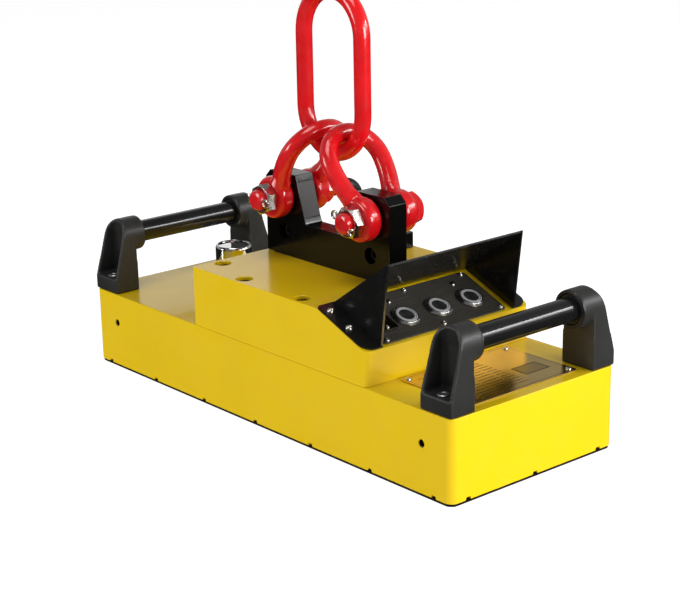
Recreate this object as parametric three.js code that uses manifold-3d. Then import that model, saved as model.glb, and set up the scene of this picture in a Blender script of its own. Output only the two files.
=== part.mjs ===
// Battery-powered lifting magnet: a steel magnet housing with a control cover on top, four handle
// legs with two grip tubes, a lifting lug, two bow shackles and the master link they hang from.
// Units are millimetres, +Z is up, +X is the control-panel end, and the part stands on z = 0.
import * as THREE from 'three';
import { mergeVertices } from 'three/addons/utils/BufferGeometryUtils.js';
import Module from 'manifold-3d';

const wasm = await Module();
wasm.setup();

// ---- driving dimensions -------------------------------------------------------------------------
const GAP = 0.3;
const LENGTH = 600;
const WIDTH = 230;
const HALF_L = LENGTH / 2;
const HALF_W = WIDTH / 2;

const HOUSING = { bottom: 3, deck: 89, wall: 8, top: 10, cornerR: 9, edge: 1.5 };
const NOTCH = { pitch: 92, width: 8, tip: 5, height: 3 };
const SIDE_HOLE = { x: 259, z: 54.5, dia: 8, depth: 6 };
const BASE = { rimHeight: 2.7, rimInset: 1, blockTop: 12, blockInset: 8.6 };

const COVER = { rear: -103, crest: 106, top: 155, slopeRun: 74.3, slopeAngle: 21.8, wall: 4, cornerR: 7 };
COVER.front = COVER.crest + COVER.slopeRun;
const ACCESS_HOLE = { dia: 18, places: [[-90, 83], [-26, 103], [70, 103]] };

const LUG = { x: 1, half: 102, half_t: 12, top: 248, floor: 195.5, earTop: 50, earFoot: 37, chamfer: 8 };
LUG.root = { half: 90, z: HOUSING.deck + GAP };
LUG.earChamfer = { x: 2.6, z: 8 };
LUG.crossBolt = { dx: 71.5, z: 182, recess: 18, depth: 13, head: 15, shank: 10, length: 22 };
LUG.bolt = { dx: 60, shank: 16, head: 26, headHeight: 9, into: 26 };

const PIN = { dx: 71.5, z: 223, dia: 22 };
const SHACKLE = { y: 2.5, body: 19, jaw: 32, eye: 47, eyeWidth: 19, bowR: 35, reach: 97.8 };
const NUT = { flats: 30, thick: 12 };
const HEAD = { flats: 32, thick: 13 };
const PIN_TIP = 8;
const COTTER = { wire: 3.6, loop: 4.2, length: 27, clear: 0.5 };
const LINK = { bar: 18, half: 46.5, straight: 78 };
// Under load each pin, its bow's crown and the centre of the link's lower arc lie on one line.
const TAUT = SHACKLE.reach + LINK.half - LINK.bar / 2 - SHACKLE.body / 2 - 2 * GAP;
SHACKLE.tilt = Math.asin(PIN.dx / TAUT);

const LEG = { outX: 299.5, width: 43, inY: 83, depth: 31.5, plinth: 15, axis: 63, archR: 20, topDepth: 13 };
LEG.x = LEG.outX - LEG.width / 2;
LEG.boss = { reach: 14, bore: 15, counter: 32, counterDepth: 3 };
LEG.pocket = { rim: 3.8, back: 5.5, floor: 17, ceiling: { low: 62, high: 84, y: 12 } };
LEG.screw = { head: 13, headHeight: 8, shank: 8, into: 9, depthY: 21, seat: 10 };
const TUBE = { dia: 25, wall: 2.5 };

const HOOD = { y: 92, sheet: 2, flange: 22, lower: 79, apexS: 56, apexN: 84, cornerR: 13, screws: [13, 43] };
HOOD.screw = { head: 8, headHeight: 2.6, shank: 4, into: 8, y: 106.5 };
const PANEL = { y: -2, top: 7, bottom: 77, half: 85, thick: 2, window: { s0: 14, s1: 68, half: 83 } };
const BUTTON = { s: 49.5, pitch: 45.5, firstY: -36, flange: 30, height: 4, bore: 20.8, cap: 20, stroke: 2 };
BUTTON.barrel = { dia: 24, depth: 22 };
const LAMP = { s: 21.5, dia: 6.4, height: 2.4, stem: 4.5, depth: 6 };
const GAUGE = { s: 44, y: -70.5, width: 28, height: 38, thick: 2.6 };
GAUGE.body = { width: 22, height: 26, depth: 16 };

const PLATE = { x0: 185, x1: 286, half: 75, thick: 1, cornerR: 4, hole: 3.4, inset: 6.5 };
const SOCKET = { x: -259, y: 58.5, flange: 48, flangeHeight: 3.5, neck: 37, neckHeight: 9 };
SOCKET.below = 14;
SOCKET.bore = 16;
const CAP = { dia: 45, top: 117, rim: 2.2, dish: 2, hollow: 38.2, hollowDepth: 10 };
const STOP = { x0: -15, x1: 8, y0: 94, y1: 110, height: 18 };
const REST = { x: -69, y: 91, rod: 18, foot: 24, footHeight: 4, armZ: 219, armEnd: 56, bend: 16 };

const MAGNET = { pitch: 190, shoe: [170, 190, 20], core: [110, 130, 34], coil: 26, yoke: [480, 200, 9] };
const BATTERY = { x: -9, y: 55, length: 140, width: 74, height: 46 };
const BOARD = { x: -8, y: -57, length: 140, width: 70, thick: 1.8, post: 6, postHeight: 10 };

const CIRCLE = 20;

// ---- materials ----------------------------------------------------------------------------------
const material = (color, roughness, metalness) =>
  new THREE.MeshStandardMaterial({ color, roughness, metalness });
const yellow = material(0xeec912, 0.3, 0.0);
const red = material(0xc8141b, 0.28, 0.0);
const glossBlack = material(0x0c0c0c, 0.22, 0.1);
const satinBlack = material(0x151515, 0.42, 0.1);
const moulded = material(0x2b2b2a, 0.6, 0.0);
const zinc = material(0xb9bab2, 0.35, 0.9);
const chrome = material(0xe2e2e2, 0.08, 1.0);
const film = material(0x2e2d2c, 0.35, 0.3);
const bronze = material(0x8a7445, 0.2, 0.8);
const steel = material(0x8d8f92, 0.4, 0.9);
const copper = material(0xa9663a, 0.45, 0.6);
const lens = material(0xe9ecec, 0.15, 0.0);
const resin = material(0x1e4f35, 0.5, 0.0);
const packBlue = material(0x27548a, 0.45, 0.0);

// ---- solids -------------------------------------------------------------------------------------
// A closed geometry as a solid that can be cut and joined.
function solid(geometry) {
  const bare = geometry.index ? geometry.clone() : geometry;
  bare.deleteAttribute('normal');
  bare.deleteAttribute('uv');
  const merged = mergeVertices(bare, 1e-4);
  const vertProperties = new Float32Array(merged.attributes.position.array);
  const triVerts = new Uint32Array(merged.index.array);
  return new wasm.Manifold(new wasm.Mesh({ numProp: 3, vertProperties, triVerts }));
}

function geometryOf(manifold) {
  const mesh = manifold.getMesh();
  const geometry = new THREE.BufferGeometry();
  geometry.setAttribute('position', new THREE.BufferAttribute(new Float32Array(mesh.vertProperties), 3));
  geometry.setIndex(new THREE.BufferAttribute(new Uint32Array(mesh.triVerts), 1));
  return geometry;
}

function box(x0, x1, y0, y1, z0, z1) {
  const geometry = new THREE.BoxGeometry(x1 - x0, y1 - y0, z1 - z0);
  return solid(geometry.translate((x0 + x1) / 2, (y0 + y1) / 2, (z0 + z1) / 2));
}

// A round rod, or a prism when it has few sides, from one end to the other along Z.
function rodZ(dia, z0, z1, x = 0, y = 0, sides = CIRCLE, topDia = dia) {
  const geometry = new THREE.CylinderGeometry(topDia / 2, dia / 2, z1 - z0, sides);
  return solid(geometry.rotateX(Math.PI / 2).translate(x, y, (z0 + z1) / 2));
}

// The same along Y.
function rodY(dia, y0, y1, x = 0, z = 0, sides = CIRCLE, farDia = dia) {
  const geometry = new THREE.CylinderGeometry(farDia / 2, dia / 2, y1 - y0, sides);
  return solid(geometry.translate(x, (y0 + y1) / 2, z));
}

const acrossCorners = (flats) => flats / Math.cos(Math.PI / 6);

function outline(points) {
  return new THREE.Shape(points.map(([x, y]) => new THREE.Vector2(x, y)));
}

// A rectangle with its own radius at each corner, starting at the low corner and going round.
function roundedRect(x0, x1, y0, y1, radii) {
  const [a, b, c, d] = radii;
  const shape = new THREE.Shape();
  shape.moveTo(x0 + a, y0);
  shape.lineTo(x1 - b, y0);
  if (b > 0) shape.absarc(x1 - b, y0 + b, b, -Math.PI / 2, 0);
  shape.lineTo(x1, y1 - c);
  if (c > 0) shape.absarc(x1 - c, y1 - c, c, 0, Math.PI / 2);
  shape.lineTo(x0 + d, y1);
  if (d > 0) shape.absarc(x0 + d, y1 - d, d, Math.PI / 2, Math.PI);
  shape.lineTo(x0, y0 + a);
  if (a > 0) shape.absarc(x0 + a, y0 + a, a, Math.PI, 1.5 * Math.PI);
  return shape;
}

function extrudeZ(shape, z0, z1, bevel = 0, curveSegments = 4) {
  const options = { depth: z1 - z0 - bevel, bevelEnabled: false, curveSegments };
  if (bevel === 0) return solid(new THREE.ExtrudeGeometry(shape, options).translate(0, 0, z0));
  const beveled = {
    depth: z1 - z0 - 2 * bevel, bevelEnabled: true, bevelSize: bevel,
    bevelThickness: bevel, bevelOffset: -bevel, bevelSegments: 1, curveSegments,
  };
  return solid(new THREE.ExtrudeGeometry(shape, beveled).translate(0, 0, z0 + bevel));
}

// A profile drawn in X and Z, made solid from y0 to y1.
function extrudeY(shape, y0, y1, curveSegments = 10) {
  const options = { depth: y1 - y0, bevelEnabled: false, curveSegments };
  return solid(new THREE.ExtrudeGeometry(shape, options).rotateX(Math.PI / 2).translate(0, y1, 0));
}

// A round section carried along a curve, with flat ends.
function sweep(curve, dia, steps, sides = 14) {
  const section = new THREE.Shape().absarc(0, 0, dia / 2, 0, 2 * Math.PI);
  const options = { extrudePath: curve, steps, bevelEnabled: false, curveSegments: sides / 2 };
  return solid(new THREE.ExtrudeGeometry(section, options));
}

const union = (parts) => parts.reduce((sum, part) => sum.add(part));
const cutAll = (body, tools) => tools.reduce((rest, tool) => rest.subtract(tool), body);
const moved = (body, x, y, z) => body.translate([x, y, z]);
const turned = (body, x, y, z) => body.rotate([x, y, z]);

const magnet = new THREE.Group();

function piece(parent, name, body, finish) {
  const mesh = new THREE.Mesh(geometryOf(body), finish);
  mesh.name = name;
  parent.add(mesh);
  return mesh;
}

// ---- magnet body --------------------------------------------------------------------------------
const bothSides = (pairs) => pairs.flatMap(([x, y]) => [[x, y], [x, -y]]);

// The cut in the skirt that shows a weld of the base plate: a trapezoid, wider at the bottom.
function notchShape(centre) {
  const { width, tip, height } = NOTCH;
  const z0 = HOUSING.bottom - 1;
  return outline([
    [centre - width / 2, z0], [centre + width / 2, z0],
    [centre + tip / 2, HOUSING.bottom + height], [centre - tip / 2, HOUSING.bottom + height],
  ]);
}

function notches() {
  const cuts = [];
  for (let k = -3; k <= 3; k += 1) {
    cuts.push(extrudeY(notchShape(k * NOTCH.pitch), -HALF_W - 1, HALF_W + 1));
  }
  for (let k = -1; k <= 1; k += 1) {
    cuts.push(turned(extrudeY(notchShape(k * NOTCH.pitch), -HALF_L - 1, HALF_L + 1), 0, 0, 90));
  }
  return cuts;
}

function legPlaces() {
  return [
    { name: 'front_right', x: 1, y: -1 }, { name: 'rear_right', x: 1, y: 1 },
    { name: 'front_left', x: -1, y: -1 }, { name: 'rear_left', x: -1, y: 1 },
  ];
}

function lowerHousing() {
  const { bottom, deck, wall, top, cornerR, edge } = HOUSING;
  const outer = roundedRect(-HALF_L, HALF_L, -HALF_W, HALF_W, Array(4).fill(cornerR));
  const shell = extrudeZ(outer, bottom - edge, deck, edge).subtract(
    box(-HALF_L - 1, HALF_L + 1, -HALF_W - 1, HALF_W + 1, bottom - 5, bottom));
  const cavity = box(-HALF_L + wall, HALF_L - wall, -HALF_W + wall, HALF_W - wall, bottom - 1, deck - top);
  const cuts = [cavity, ...notches()];
  for (const sx of [-1, 1]) {
    for (const sy of [-1, 1]) {
      const face = sy * HALF_W;
      const inside = face - sy * SIDE_HOLE.depth;
      const outside = face + sy;
      cuts.push(rodY(SIDE_HOLE.dia, Math.min(inside, outside), Math.max(inside, outside),
        sx * SIDE_HOLE.x, SIDE_HOLE.z, 12));
    }
  }
  for (const place of legPlaces()) {
    const y = place.y * (LEG.inY + LEG.screw.depthY);
    cuts.push(rodZ(LEG.screw.shank + 0.6, deck - LEG.screw.into - 0.6, deck + 1, place.x * LEG.x, y, 16));
  }
  for (const side of [-1, 1]) {
    cuts.push(rodZ(LUG.bolt.shank + 0.8, deck - top - 1, deck + 1, LUG.x + side * LUG.bolt.dx, 0, 20));
    cuts.push(rodZ(14, deck - top - 1, deck + 1, side * 40, 50, 16));
  }
  cuts.push(rodZ(SOCKET.neck + 0.6, deck - top - 1, deck + 1, SOCKET.x, SOCKET.y, 24));
  return cutAll(shell, cuts);
}

function basePlate() {
  const { rimHeight, rimInset, blockTop, blockInset } = BASE;
  const rim = roundedRect(-HALF_L + rimInset, HALF_L - rimInset, -HALF_W + rimInset, HALF_W - rimInset,
    Array(4).fill(HOUSING.cornerR - rimInset));
  const block = box(-HALF_L + blockInset, HALF_L - blockInset, -HALF_W + blockInset, HALF_W - blockInset,
    1, blockTop);
  return extrudeZ(rim, 0, rimHeight).add(block);
}

// Three magnet units stand side by side: a pole shoe, a reversible core and the coil around it.
function magnetUnits() {
  const [shoeX, shoeY, shoeZ] = MAGNET.shoe;
  const [coreX, coreY, coreZ] = MAGNET.core;
  const shoeBottom = BASE.blockTop + GAP;
  const coreBottom = shoeBottom + shoeZ + GAP;
  const coreTop = coreBottom + coreZ;
  for (let k = -1; k <= 1; k += 1) {
    const x = k * MAGNET.pitch;
    const block = (sx, sy, z0, z1) => box(x - sx / 2, x + sx / 2, -sy / 2, sy / 2, z0, z1);
    const turnsX = coreX + 2 * MAGNET.coil;
    const turnsY = coreY + 2 * MAGNET.coil;
    const coil = block(turnsX, turnsY, coreBottom + 1, coreTop - 1)
      .subtract(block(coreX + 1, coreY + 1, coreBottom, coreTop));
    piece(magnet, `pole_shoe_${k + 2}`, block(shoeX, shoeY, shoeBottom, shoeBottom + shoeZ), steel);
    piece(magnet, `magnet_core_${k + 2}`, block(coreX, coreY, coreBottom, coreTop), satinBlack);
    piece(magnet, `switching_coil_${k + 2}`, coil, copper);
  }
  const [yokeX, yokeY, yokeZ] = MAGNET.yoke;
  const yoke = box(-yokeX / 2, yokeX / 2, -yokeY / 2, yokeY / 2, coreTop + GAP, coreTop + GAP + yokeZ);
  const holes = [-1, 1].map((side) =>
    rodZ(LUG.bolt.head + 2, coreTop, coreTop + yokeZ + 2, LUG.x + side * LUG.bolt.dx, 0, 24));
  piece(magnet, 'yoke_plate', cutAll(yoke, holes), steel);
}

// ---- control cover ------------------------------------------------------------------------------
function coverProfile(inset) {
  const angle = THREE.MathUtils.degToRad(COVER.slopeAngle);
  const top = COVER.top - inset;
  const crest = COVER.crest - inset * Math.tan(angle / 2);
  const front = COVER.front - inset;
  const lip = top - (front - crest) * Math.tan(angle);
  const bottom = HOUSING.deck + GAP - (inset > 0 ? 1 : 0);
  return outline([[COVER.rear + inset, bottom], [front, bottom], [front, lip], [crest, top],
    [COVER.rear + inset, top]]);
}

// Turns a slope-frame solid (s down the slope, y, n out of it) into the part's frame.
function onSlope(body) {
  return moved(turned(body, 0, COVER.slopeAngle, 0), COVER.crest, 0, COVER.top);
}

function upperHousing() {
  const { rear, front, top, wall, cornerR } = COVER;
  const plan = roundedRect(rear, front, -HALF_W, HALF_W, [2, cornerR, cornerR, 2]);
  const outer = extrudeZ(plan, HOUSING.deck + GAP, top)
    .intersect(extrudeY(coverProfile(0), -HALF_W - 1, HALF_W + 1));
  const cavity = extrudeY(coverProfile(wall), -HALF_W + wall, HALF_W - wall);
  const { root } = LUG;
  const cuts = [cavity];
  cuts.push(box(LUG.x - root.half - GAP, LUG.x + root.half + GAP, -LUG.half_t - GAP, LUG.half_t + GAP,
    top - wall - 1, top + 1));
  for (const [x, y] of bothSides(ACCESS_HOLE.places)) {
    cuts.push(rodZ(ACCESS_HOLE.dia, top - wall - 1, top + 1, x, y, 28));
  }
  const { s0, s1, half } = PANEL.window;
  cuts.push(onSlope(box(s0, s1, PANEL.y - half, PANEL.y + half, -wall - 2, 1)));
  for (const side of [-1, 1]) {
    for (const s of HOOD.screws) {
      cuts.push(onSlope(rodZ(HOOD.screw.shank + 0.6, -wall - 3, 1, s, side * HOOD.screw.y, 12)));
    }
  }
  return cutAll(outer, cuts);
}

// A leaning sheet in profile: its lower edge is cut level, its upper edge square.
function leaningSheet(from, to, thick) {
  const lean = new THREE.Vector2(to[0] - from[0], to[1] - from[1]).normalize();
  const [dx, dy] = [lean.y * thick, -lean.x * thick];
  return outline([from, [from[0] + thick / lean.y, from[1]], [to[0] + dx, to[1] + dy], to]);
}

// A sun hood folded from one sheet: a back plate leaning over the panel, two side plates and two feet.
function controlHood() {
  const { y, sheet, flange, lower, apexS, apexN, cornerR, screws, screw } = HOOD;
  const foot = GAP;
  const back = extrudeY(leaningSheet([0, foot], [apexS, apexN], sheet), -y, y);
  const side = outline([[0, foot], [lower, foot], [apexS + 1, apexN], [apexS, apexN]]);
  const parts = [back];
  for (const sign of [-1, 1]) {
    const inner = sign * (y - 0.5);
    const outer = sign * (y + sheet);
    parts.push(extrudeY(side, Math.min(inner, outer), Math.max(inner, outer)));
    const edge = sign * (y + flange);
    const radii = sign > 0 ? [0, 0, cornerR, 3] : [3, cornerR, 0, 0];
    const feet = roundedRect(0, lower, Math.min(inner, edge), Math.max(inner, edge), radii);
    parts.push(extrudeZ(feet, foot, foot + sheet));
  }
  const holes = [];
  for (const sign of [-1, 1]) {
    for (const s of screws) holes.push(rodZ(screw.shank + 0.6, -1, sheet + 2, s, sign * screw.y, 12));
  }
  return cutAll(union(parts), holes);
}

function buttonHeadScrew() {
  const { head, headHeight, shank, into } = HOOD.screw;
  const dome = rodZ(head, 0, headHeight * 0.5, 0, 0, 20, head * 0.94)
    .add(rodZ(head * 0.94, headHeight * 0.5, headHeight, 0, 0, 20, head * 0.55));
  const key = rodZ(3, headHeight - 1.2, headHeight + 1, 0, 0, 6);
  return dome.add(rodZ(shank, -into, 0.2, 0, 0, 12)).subtract(key);
}

function controlPanel() {
  const { y: middle, top, bottom, half, thick } = PANEL;
  const plan = roundedRect(top, bottom, middle - half, middle + half, Array(4).fill(4));
  const sheet = extrudeZ(plan, GAP, GAP + thick);
  const cuts = [];
  for (let k = 0; k < 3; k += 1) {
    const y = BUTTON.firstY + k * BUTTON.pitch;
    cuts.push(rodZ(BUTTON.barrel.dia + 0.8, -2, thick + 2, BUTTON.s, y, 24));
    if (k !== 1) cuts.push(rodZ(LAMP.stem + 0.6, -2, thick + 2, LAMP.s, y, 12));
  }
  const { body } = GAUGE;
  const reachS = body.height / 2 + 0.4;
  const reachY = body.width / 2 + 0.4;
  cuts.push(box(GAUGE.s - reachS, GAUGE.s + reachS, GAUGE.y - reachY, GAUGE.y + reachY, -2, thick + 2));
  return cutAll(sheet, cuts);
}

// A push-button ring: a tapered flange on the panel and a barrel below it, open right through.
function buttonRing() {
  const { flange, height, bore, barrel } = BUTTON;
  const ring = rodZ(flange, 0, height, 0, 0, CIRCLE, flange - 5);
  return ring.add(rodZ(barrel.dia, -barrel.depth, 0.2)).subtract(rodZ(bore, -barrel.depth - 1, height + 1));
}

function buttonCap() {
  const { height, cap, stroke } = BUTTON;
  return rodZ(cap, -6, height - 0.4, 0, 0, CIRCLE).add(rodZ(cap * 0.5, -12 + stroke, -5.8, 0, 0, 16));
}

function batteryGauge() {
  const { width, height, thick, body } = GAUGE;
  const flange = extrudeZ(roundedRect(-height / 2, height / 2, -width / 2, width / 2, Array(4).fill(3)),
    0, thick, 0.6, 4);
  const block = box(-body.height / 2, body.height / 2, -body.width / 2, body.width / 2, -body.depth, 0.3);
  const window = box(-7, 3, -9, 9, thick - 0.8, thick + 1);
  return flange.add(block).subtract(window);
}

function controls() {
  const slope = new THREE.Group();
  slope.position.set(COVER.crest, 0, COVER.top);
  slope.rotation.y = THREE.MathUtils.degToRad(COVER.slopeAngle);
  magnet.add(slope);
  const face = GAP + PANEL.thick + GAP;
  const place = (name, body, finish, s, y, n) => piece(slope, name, body, finish).position.set(s, y, n);

  place('control_hood', controlHood(), satinBlack, 0, 0, 0);
  HOOD.screws.forEach((s, i) => {
    for (const [side, sign] of [['front', -1], ['rear', 1]]) {
      place(`hood_screw_${side}_${i + 1}`, buttonHeadScrew(), zinc, s, sign * HOOD.screw.y,
        HOOD.sheet + 2 * GAP);
    }
  });
  place('control_panel', controlPanel(), film, 0, 0, 0);
  for (let k = 0; k < 3; k += 1) {
    const y = BUTTON.firstY + k * BUTTON.pitch;
    place(`button_ring_${k + 1}`, buttonRing(), chrome, BUTTON.s, y, face);
    place(`push_button_${k + 1}`, buttonCap(), steel, BUTTON.s, y, face);
  }
  [0, 2].forEach((k, i) => {
    const y = BUTTON.firstY + k * BUTTON.pitch;
    const body = rodZ(LAMP.dia, 0, LAMP.height, 0, 0, 20, LAMP.dia * 0.6)
      .add(rodZ(LAMP.stem, -LAMP.depth, 0.2, 0, 0, 12));
    place(`indicator_lamp_${i + 1}`, body, lens, LAMP.s, y, face);
  });
  place('battery_gauge', batteryGauge(), glossBlack, GAUGE.s, GAUGE.y, face);
}

// ---- inside the cover ---------------------------------------------------------------------------
function electronics() {
  const floor = HOUSING.deck + GAP;
  const { x, y, length, width, height } = BATTERY;
  const pack = roundedRect(x - length / 2, x + length / 2, y - width / 2, y + width / 2, Array(4).fill(6));
  piece(magnet, 'battery_pack', extrudeZ(pack, floor, floor + height, 2, 4), packBlue);
  const halfL = BOARD.length / 2;
  const halfW = BOARD.width / 2;
  const sheet = box(BOARD.x - halfL, BOARD.x + halfL, BOARD.y - halfW, BOARD.y + halfW,
    floor + BOARD.postHeight, floor + BOARD.postHeight + BOARD.thick);
  const chips = [
    box(BOARD.x - 55, BOARD.x - 15, BOARD.y - 22, BOARD.y + 18, floor + 11, floor + 30),
    rodZ(22, floor + 11, floor + 36, BOARD.x + 15, BOARD.y - 12, 20),
    rodZ(22, floor + 11, floor + 36, BOARD.x + 42, BOARD.y - 12, 20),
    box(BOARD.x + 5, BOARD.x + 60, BOARD.y + 12, BOARD.y + 30, floor + 11, floor + 22),
  ];
  const posts = [];
  for (const sx of [-1, 1]) {
    for (const sy of [-1, 1]) {
      posts.push(rodZ(BOARD.post, floor, floor + BOARD.postHeight + 0.5,
        BOARD.x + sx * (halfL - 8), BOARD.y + sy * (halfW - 8), 12));
    }
  }
  piece(magnet, 'controller_board', union([sheet, ...chips, ...posts]), resin);
}

// ---- lifting lug --------------------------------------------------------------------------------
function liftingLug() {
  const { x, half, half_t, top, floor, earTop, earFoot, chamfer, root, earChamfer, crossBolt, bolt } = LUG;
  const rest = COVER.top + GAP;
  const right = [
    [root.half, root.z], [root.half, rest], [half, rest], [half, top - chamfer], [half - chamfer, top],
    [earTop, top], [earTop - earChamfer.x, top - earChamfer.z], [earFoot, floor + 7], [earFoot - 3, floor],
  ];
  const left = right.map(([px, pz]) => [-px, pz]).reverse();
  const plate = moved(extrudeY(outline([...right, ...left]), -half_t, half_t), x, 0, 0);
  const cuts = [];
  for (const side of [-1, 1]) {
    cuts.push(rodY(PIN.dia + 3, -half_t - 1, half_t + 1, x + side * PIN.dx, PIN.z));
    const boltX = x + side * crossBolt.dx;
    cuts.push(rodY(crossBolt.recess, -half_t - 1, -half_t + crossBolt.depth, boltX, crossBolt.z, 24));
    cuts.push(rodY(crossBolt.shank + 0.6, -half_t, -half_t + crossBolt.length + 0.6, boltX, crossBolt.z, 16));
    cuts.push(rodZ(bolt.shank + 0.8, root.z - 1, root.z + bolt.into + 1, x + side * bolt.dx, 0, 20));
  }
  return cutAll(plate, cuts);
}

function lugFasteners() {
  const { crossBolt, bolt, half_t } = LUG;
  const under = HOUSING.deck - HOUSING.top - GAP;
  for (const [name, side] of [['left', -1], ['right', 1]]) {
    const seat = -half_t + crossBolt.depth - GAP;
    const boltX = LUG.x + side * crossBolt.dx;
    const head = rodY(acrossCorners(crossBolt.head - 2), seat - 6, seat, boltX, crossBolt.z, 6);
    const shank = rodY(crossBolt.shank, seat - 0.2, -half_t + crossBolt.length, boltX, crossBolt.z, 16);
    piece(magnet, `lug_cross_bolt_${name}`, head.add(shank), satinBlack);
    const x = LUG.x + side * bolt.dx;
    const rootBolt = rodZ(acrossCorners(bolt.head - 2), under - bolt.headHeight, under, x, 0, 6)
      .add(rodZ(bolt.shank, under - 0.2, LUG.root.z + bolt.into, x, 0, 20));
    piece(magnet, `lug_bolt_${name}`, rootBolt, steel);
  }
}

// A small block on the far edge of the cover, and a bent rod whose arm points back at the left ear.
function rearRest() {
  const floor = COVER.top + GAP;
  const blockPlan = roundedRect(STOP.x0, STOP.x1, STOP.y0, STOP.y1, Array(4).fill(2));
  piece(magnet, 'rear_stop_block', extrudeZ(blockPlan, floor, floor + STOP.height, 0.8), glossBlack);

  const { x, y, rod, foot, footHeight, armZ, armEnd, bend } = REST;
  const at = (py, pz) => new THREE.Vector3(x, py, pz);
  const path = new THREE.CurvePath();
  path.add(new THREE.LineCurve3(at(y, floor), at(y, armZ - bend)));
  path.add(new THREE.QuadraticBezierCurve3(at(y, armZ - bend), at(y, armZ), at(y - bend, armZ)));
  path.add(new THREE.LineCurve3(at(y - bend, armZ), at(armEnd, armZ)));
  const footing = rodZ(foot, floor, floor + footHeight, x, y);
  piece(magnet, 'rear_rest_arm', sweep(path, rod, 16, 12).add(footing), satinBlack);
}

// ---- shackles and master link -------------------------------------------------------------------
// The bow is drawn upright with its pin on the Y axis at the origin.
function bow() {
  const { body, jaw, eye, eyeWidth, bowR, reach } = SHACKLE;
  const eyeY = jaw / 2 + eyeWidth / 2;
  const centre = reach - bowR;
  const leg = new THREE.CubicBezierCurve3(
    new THREE.Vector3(0, -eyeY, 6), new THREE.Vector3(0, -eyeY, 26),
    new THREE.Vector3(0, -bowR, 34), new THREE.Vector3(0, -bowR, centre));
  const points = leg.getPoints(9);
  for (let i = 1; i < 18; i += 1) {
    const angle = Math.PI * (1 - i / 18);
    points.push(new THREE.Vector3(0, bowR * Math.cos(angle), centre + bowR * Math.sin(angle)));
  }
  for (const point of leg.getPoints(9).reverse()) points.push(new THREE.Vector3(0, -point.y, point.z));
  const wire = sweep(new THREE.CatmullRomCurve3(points), body, 28, 12);
  const jawSpace = box(-eye, eye, -jaw / 2, jaw / 2, -eye, 14);
  const eyes = [-1, 1].map((side) => {
    const inner = side * (jaw / 2);
    const outer = side * (jaw / 2 + eyeWidth);
    return rodY(eye, Math.min(inner, outer), Math.max(inner, outer));
  });
  const pinHole = rodY(PIN.dia + 1, -2 * eye, 2 * eye);
  const face = jaw / 2 + eyeWidth;
  const seat = acrossCorners(HEAD.flats) + 2;
  const spotFaces = [rodY(seat, -face - eye, -face), rodY(seat, face, face + eye)];
  return cutAll(union([wire, ...eyes]), [jawSpace, pinHole, ...spotFaces]);
}

function shackleStack() {
  const outer = SHACKLE.jaw / 2 + SHACKLE.eyeWidth;
  const nutNear = -outer - GAP;
  const nutFar = nutNear - NUT.thick;
  const tip = nutFar - PIN_TIP;
  return { outer, nutNear, nutFar, tip, cotterY: (nutFar + tip) / 2 };
}

function pinBolt() {
  const { outer, tip, cotterY } = shackleStack();
  const head = rodY(acrossCorners(HEAD.flats), outer + GAP, outer + GAP + HEAD.thick, 0, 0, 6);
  const chamferEnd = rodY(PIN.dia - 3, tip, tip + 1.6, 0, 0, CIRCLE, PIN.dia);
  const shank = rodY(PIN.dia, tip + 1.6, outer + GAP + 1);
  const hole = rodZ(COTTER.wire + COTTER.clear, -PIN.dia, PIN.dia, 0, cotterY, 12);
  return union([head, chamferEnd, shank]).subtract(hole);
}

function hexNut() {
  const { nutNear, nutFar } = shackleStack();
  const prism = rodY(acrossCorners(NUT.flats), nutFar, nutNear, 0, 0, 6);
  const cone = rodY(NUT.flats * 0.98, nutFar, nutFar + 2.2, 0, 0, CIRCLE, acrossCorners(NUT.flats) * 1.01)
    .add(rodY(acrossCorners(NUT.flats) * 1.01, nutFar + 2.2, nutNear));
  return prism.intersect(cone).subtract(rodY(PIN.dia + 0.6, nutFar - 1, nutNear + 1));
}

function cotterPin() {
  const { wire, loop, length } = COTTER;
  const { cotterY } = shackleStack();
  const ring = solid(new THREE.TorusGeometry(loop, wire / 2, 6, 12).rotateX(Math.PI / 2));
  const half = PIN.dia / 2;
  const straight = rodZ(wire, half - length, half + 1.5, 0, cotterY, 10);
  return straight.add(moved(ring, 0, cotterY, half + 1.2 + loop));
}

function shackle(side, sign, cotterTurn) {
  const group = new THREE.Group();
  group.position.set(LUG.x + sign * PIN.dx, SHACKLE.y, PIN.z);
  magnet.add(group);
  const tilted = new THREE.Group();
  tilted.rotation.y = -sign * SHACKLE.tilt;
  group.add(tilted);
  piece(tilted, `shackle_bow_${side}`, bow(), red);
  piece(tilted, `shackle_pin_${side}`, pinBolt(), red).rotation.y = cotterTurn;
  piece(tilted, `shackle_nut_${side}`, hexNut(), zinc).rotation.y = cotterTurn + Math.PI / 6;
  piece(tilted, `cotter_pin_${side}`, cotterPin(), zinc).rotation.y = cotterTurn;
}

function masterLink() {
  const { bar, half, straight } = LINK;
  const z0 = PIN.z + TAUT * Math.cos(SHACKLE.tilt);
  const z1 = z0 + straight;
  const reach = half + bar;
  const ring = solid(new THREE.TorusGeometry(half, bar / 2, 12, 32).rotateX(Math.PI / 2));
  const lower = moved(ring, 0, 0, z0).intersect(box(-reach, reach, -bar, bar, z0 - reach, z0));
  const upper = moved(ring, 0, 0, z1).intersect(box(-reach, reach, -bar, bar, z1, z1 + reach));
  const legs = [-half, half].map((x) => rodZ(bar, z0 - 0.01, z1 + 0.01, x, 0, 12));
  return moved(union([lower, upper, ...legs]), LUG.x, SHACKLE.y, 0);
}

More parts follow.
